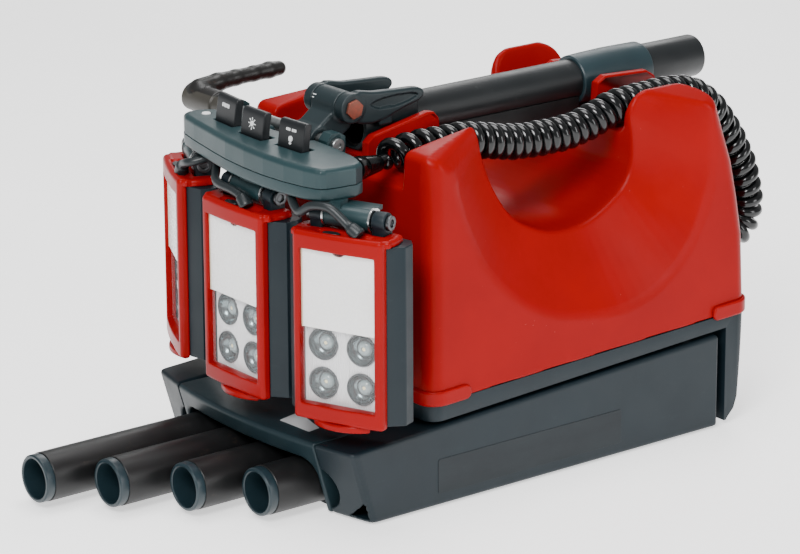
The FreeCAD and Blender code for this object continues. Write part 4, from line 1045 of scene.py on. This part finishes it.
def lean_back(Y, Z):
    """Front faces lean back towards the floor."""
    return Y - 19.0 * np.clip((64.0 - Z) / 64.0, 0, 1) * np.clip((-110.0 - Y) / 60.0, 0, 1)


def bar_field(X, Y, Z):
    A = np.abs(X)
    Yl = lean_back(Y, Z)
    d = f_and((bow(X) - Yl) * 0.94, Z - 63.0, 4.5)
    d = f_and(d, A - 92.0, 1.2)
    d = f_and(d, Y + 113.9, 0.6)
    d = f_and(d, 1.6 - Z, 1.5)
    d = f_cut(d, f_box(X, Y, Z, -87.6, 87.6, -186, -90, -10, 59.0, 2.0), 0.8)
    arch = f_and(A - 87.3, Z - 46.5, 14.0)
    arch = np.maximum(arch, Y + 150)
    return f_cut(d, arch, 2.2)


bar = sdf_mesh("crossbar_cover", bar_field, (-94, -217, 0), (94, -112, 65), 1.3, "grey")
put(bar, "case", "crossbar", slot="grey_plastic")
ARM_PLAN = [(93.0, 60.0)] + [(93.0 + 36.0 * i / 8.0, float(bow(93.0 + 36.0 * i / 8.0))) for i in range(9)]
ARM_PLAN += [(132.0, float(bow(133.0)) + 1.2), (133.0, float(bow(133.0)) + 5.0), (133.0, 184.6), (131.6, 186.0), (113.0, 186.0)]
ARM_PLAN += [(113.0 + 20.0 * math.cos(t), 166.0 + 20.0 * math.sin(t)) for t in np.linspace(math.pi / 2, math.pi, 12)[1:]]


def arm_field(X, Y, Z):
    A = np.abs(X)
    Yl = lean_back(Y, Z)
    d = f_poly(A, Yl, ARM_PLAN) * 0.96
    top = 63.0 + (Y + 196.0) * 0.0497
    d = f_and(d, Z - top, 3.4)
    d = f_and(d, 1.6 - Z, 3.0)
    d = f_cut(d, f_and(f_box(A, Y, Z, 60, 129.8, -182, 140, 5, 200, 1.0), Z - top + 3.5, 1.0), 0.8)
    d = f_cut(d, np.maximum(np.hypot(A - 88, Z - 24) - 18.0, Y + 170), 1.4)
    d = f_cut(d, np.maximum(np.maximum(93 - A - 30, A - 123.5), np.maximum(Z - 4.4, 155.5 - Y)), 0.3)
    return f_and(d, 93.0 - A, 1.3)


arm = sdf_data(arm_field, (90, -218, 0), (135, 188, 84), 1.5)
for sx, side in ((1, "right"), (-1, "left")):
    v, q, g = arm[0].copy(), arm[1], arm[2].copy()
    if sx < 0:
        v[:, 0] *= -1
        g[:, 0] *= -1
        q = q[:, ::-1]
    o = obj("arm_%s_shell" % side, v, q, "dark", normals=g)
    put(o, "arm_" + side, "arm_" + side, slot="dark_plastic")

# ------------------------------------------------------------------ mast bracket and tongue
LOBE = smooth_outline([(-112, 294.5), (-98, 289.5), (-84, 291.0), (-62, 297.5), (-49, 300.5), (-43.5, 304.5), (-44.5, 309.5), (-52, 312.3), (-72, 313.6), (-92, 315.0), (-112, 316.6)], 4)
LEAF = smooth_outline([(-97, 305.0), (-86, 300.2), (-70, 300.6), (-56, 303.2), (-50.5, 306.2), (-58, 308.6), (-76, 309.2), (-90, 307.8)], 4)


def bracket_field(X, Y, Z):
    d = f_and(np.hypot(X, Z - 282) - 21.2, np.abs(Y + 69) - 27.0, 1.4)
    d = f_or(d, f_box(X, Y, Z, -19.8, 29.5, -88, -75, 286, 301.5, 2.2), 2.0)
    d = f_or(d, f_box(X, Y, Z, -17.5, 22.5, -75, -43, 284, 300.5, 2.5), 2.0)
    for x0, x1, out in ((20.6, 30.5, 1), (-20.0, -10.6, -1)):
        disc = f_and(np.hypot(Y + 115, Z - 305) - 12.0, np.abs(X - (x0 + x1) / 2) - (x1 - x0) / 2, 1.3)
        lobe = f_and(f_poly(Y, Z, LOBE), np.abs(X - (x0 + x1) / 2) - (x1 - x0) / 2 + 0.5, 2.6)
        leaf = f_poly(Y, Z, LEAF)
        face = x1 if out > 0 else x0
        lobe = f_cut(lobe, f_and(leaf, (face - 2.6 - X) if out > 0 else (X - face - 2.6), 1.2), 1.0)
        d = f_or(d, f_or(disc, lobe, 1.0), 0.8)
    d = f_cut(d, np.hypot(X, Z - 282) - 17.6, 0.5)
    d = f_cut(d, f_box(X, Y, Z, -27.4, 27.4, -140, -10, 230, 263.4), 0.4)
    return f_cut(d, f_and(np.hypot(Y + 115, Z - 305) - 16.0, np.maximum(X - 20.4, -10.4 - X), 0.6), 0.5)


br = sdf_mesh("mast_bracket_casting", bracket_field, (-24, -131, 260), (33, -39, 320), 0.9, "knuckle")
put(br, "case", "mast_bracket", slot="grey_plastic")


def tongue_field(X, Y, Z):
    d = f_and(np.hypot(Y + 115, Z - 305) - 12.0, np.maximum(X - 20.0, -10.0 - X), 1.4)
    web = f_poly(Y, Z, [(-126.2, 303), (-104.5, 298), (-109, 286), (-130, 273.4), (-149, 284), (-141, 292)])
    d = f_or(d, f_and(web, np.maximum(X - 19.2, -9.2 - X), 2.6), 2.5)
    d = f_or(d, f_and(np.hypot(Y + 140, Z - 282) - 10.0, np.maximum(X - 20.0, -10.0 - X), 1.4), 2.0)
    d = f_cut(d, np.hypot(Y + 115, Z - 305) - 5.1, 0.4)
    return f_cut(d, np.hypot(Y + 140, Z - 282) - 6.1, 0.6)


tg = sdf_mesh("tilt_tongue_casting", tongue_field, (-13, -154, 269), (23, -99, 320), 0.9, "knuckle")
put(tg, "knuckle", "tilt_tongue", slot="grey_plastic")
marks = []
for q, (a0, ln) in enumerate(((148, 4.2), (160, 2.6))):
    t = math.radians(a0)
    c = Vector((-6.5, -115 + 12.05 * math.cos(t), 305 + 12.05 * math.sin(t)))
    Mk = Matrix.Translation(c) @ Matrix.Rotation(t, 4, "X")
    marks.append(prism("mk", [(-2.4, -0.35), (-2.4 + ln, -0.35), (-2.4 + ln, 0.35), (-2.4, 0.35)], -0.1, 0.14, "icon", "xzy", Mk))
mk = join("tongue_scale_marks", *marks)
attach(mk, "knuckle")

# ------------------------------------------------------------------ round parts
for i, (x, y0) in enumerate(((-66.5, -361.0), (-22.2, -321.0), (22.2, -279.0), (66.5, -241.0))):
    y1 = y0 + 380.0
    t = lathe("tube_%d_wall" % (i + 1), [(y0 + 8.0, 18.0), (y0 + 8.0, 19.6), (y0 + 8.5, 20.0), (y1 - 0.8, 20.0), (y1, 19.3), (y1, 18.5), (y1 - 0.5, 18.0)],
              "tube", (x, 0, 24.0), "y", 72, closed=True, crease=22)
    put(t, "tube_%d" % (i + 1), "tube_%d" % (i + 1), slot="tube_composite")
    f = lathe("tube_%d_ferrule_ring" % (i + 1),
              [(y0 + 0.7, 16.3), (y0, 17.0), (y0, 18.5), (y0 + 1.0, 19.5), (y0 + 7.0, 19.6), (y0 + 7.9, 19.2), (y0 + 7.95, 17.9), (y0 + 30.0, 17.9), (y0 + 30.0, 16.4), (y0 + 29.8, 16.25), (y0 + 4.0, 16.25)],
              "ferrule", (x, 0, 24.0), "y", 72, closed=True, crease=28)
    put(f, "tube_%d" % (i + 1), "tube_%d_ferrule" % (i + 1), slot="dark_plastic")

mt = lathe("mast_tube_wall", [(-92, 15.5), (-92, 17.1), (-91.6, 17.5), (181.6, 17.5), (182, 17.1), (182, 15.5)], "mast", (0, 0, 282), "y", 64, closed=True, crease=25)
put(mt, "case", "mast_tube", slot="tube_composite")
sp = lathe("mast_spigot_tube", [(182.2, 0), (182.2, 17.5), (209.9, 17.5), (210.0, 18.0), (268.4, 18.0), (270.2, 17.4), (271.0, 16.2), (271.0, 12.0), (270.2, 11.4), (270.0, 0)], "mast", (0, 0, 282), "y", 64, crease=28)
put(sp, "case", "mast_spigot", slot="tube_composite")
mc = lathe("mast_collar_sleeve", [(134.0, 17.6), (134.0, 19.6), (134.9, 20.5), (136.0, 20.65), (150.0, 21.2), (172.0, 21.75), (190.0, 21.5), (207.6, 21.2), (209.2, 20.5), (209.8, 19.2), (209.8, 17.6)],
           "collar", (0, 0, 282), "y", 64, closed=True, crease=28)
put(mc, "case", "mast_collar", slot="grey_plastic")
rd = lathe("tilt_rod_bar", [(-104, 0), (-104, 5.4), (-103.4, 5.98), (43.4, 5.98), (44.0, 5.4), (44.0, 2.6), (42.6, 2.2), (42.6, 0)], "rod", (0, -140, 282), "x", 40, crease=28)
put(rd, "knuckle", "tilt_rod", slot="steel")

# ------------------------------------------------------------------ clamp lever
LV = [(-140, 290, 8.5), (-122, 292.5, 7.6), (-104, 293.5, 6.6), (-86, 294.0, 6.4), (-70, 294.5, 6.8), (-60, 294.5, 6.2)]


def lever_field(X, Y, Z):
    d = f_and(np.hypot(Y + 140, Z - 282) - 11.5, np.abs(X + 136) - 20.0, 1.6)
    d = f_or(d, f_and(np.hypot(Y + 140, Z - 282) - 10.0, np.abs(X + 111) - 6.6, 1.0), 0.6)
    a = None
    for p, q in zip(LV, LV[1:]):
        c = f_capsule(X, Y, Z, (-145, p[0], p[1]), (-145, q[0], q[1]), p[2], q[2])
        a = c if a is None else f_or(a, c, 2.0)
    d = f_or(d, a, 4.0)
    d = f_cut(d, np.maximum(np.hypot(Y + 140, Z - 282) - 6.06, -X - 140), 0.3)
    return f_cut(d, np.maximum(np.hypot(Y + 140, Z - 282) - 7.0, X + 152), 0.6)


lv = sdf_mesh("clamp_lever_arm", lever_field, (-159, -154, 268), (-102, -51, 304), 1.15, "lever")
me = lv.data
me.materials.append(MATS["hub"])
for p in me.polygons:
    c = p.center / MM
    if math.hypot(c.y + 140, c.z - 282) < 11.9 and c.z < 290.5:
        p.material_index = 1
put(lv, "lever", "clamp_lever", slot="black_plastic")

# ------------------------------------------------------------------ blank plates
for sx, side in ((1, "right"), (-1, "left")):
    pl = prism("arm_%s_name_plate" % side, rr(-112, 79, 11.5, 40.5, 2.0, 4), sx * 132.9, sx * 133.35, "label", "yzx", None, 0.15, 2)
    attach(pl, "arm_" + side)
sp_ = prism("shelf_plate", [(32, -192), (68, -190), (66, -178.5), (26, -169)], 63.0, 63.5, "silver", "xyz", None, 0.18, 2)
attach(sp_, "case")

# ------------------------------------------------------------------ the nodes that stay as they are
rec = frame["record"]
slot_mat = {"red_plastic": "red", "grey_plastic": "grey", "dark_plastic": "dark", "black_plastic": "black", "tube_composite": "tube", "rubber": "rubber",
            "cable": "cable", "steel": "steel", "rusty_steel": "rust", "reflector": "chrome", "window": "frost", "battery": "battery", "board": "board"}
for nd, o in frame["nodes"].items():
    sl = [s["material_slot"] for s in rec["subparts"] if s["node"] == nd][0]
    for i in range(len(o.material_slots)):
        o.material_slots[i].material = MATS[slot_mat[sl]]

# ------------------------------------------------------------------ floor, backdrop and light
def area(name, loc, target, sx, sy, power, col=(1, 1, 1)):
    l = bpy.data.lights.new(name, "AREA")
    l.shape, l.size, l.size_y, l.energy, l.color = "RECTANGLE", sx, sy, power, col
    o = bpy.data.objects.new(name, l)
    COLL.objects.link(o)
    o.location = loc
    o.rotation_mode = "QUATERNION"
    o.rotation_quaternion = (Vector(target) - Vector(loc)).to_track_quat("-Z", "Y")
    return o


n = N("floor")
n.link(n.mixc(n.ramp(n.noise(3, 3, 0.5), 0.3, 0.7), (0.90, 0.90, 0.90), (0.93, 0.93, 0.93)), n.b.inputs["Base Color"])
n.link(n.ramp(n.noise(9, 3, 0.5), 0.2, 0.8, 0.55, 0.65), n.b.inputs["Roughness"])
n.b.inputs["Emission Color"].default_value = (1, 1, 1, 1)
n.b.inputs["Emission Strength"].default_value = 0.95
MATS["floor"] = n.m
floor = obj("floor", [(-14000, -14000, 0), (14000, -14000, 0), (14000, 14000, 0), (-14000, 14000, 0)], [(0, 1, 2, 3)], "floor", smooth=False)
w = bpy.data.worlds.new("w")
bpy.context.scene.world = w
w.use_nodes = True
w.node_tree.nodes["Background"].inputs["Color"].default_value = (1, 1, 1, 1)
w.node_tree.nodes["Background"].inputs["Strength"].default_value = 0.42
area("key", (1.3, -1.9, 2.1), (0, 0, 0.1), 1.1, 1.1, 95)
area("top", (-0.2, 0.1, 2.3), (0, 0, 0.1), 1.4, 1.4, 44)
area("side", (2.3, 0.9, 0.9), (0, 0, 0.15), 0.9, 1.3, 22)
area("back", (-1.6, 1.6, 1.5), (0, 0, 0.15), 1.2, 1.2, 18)
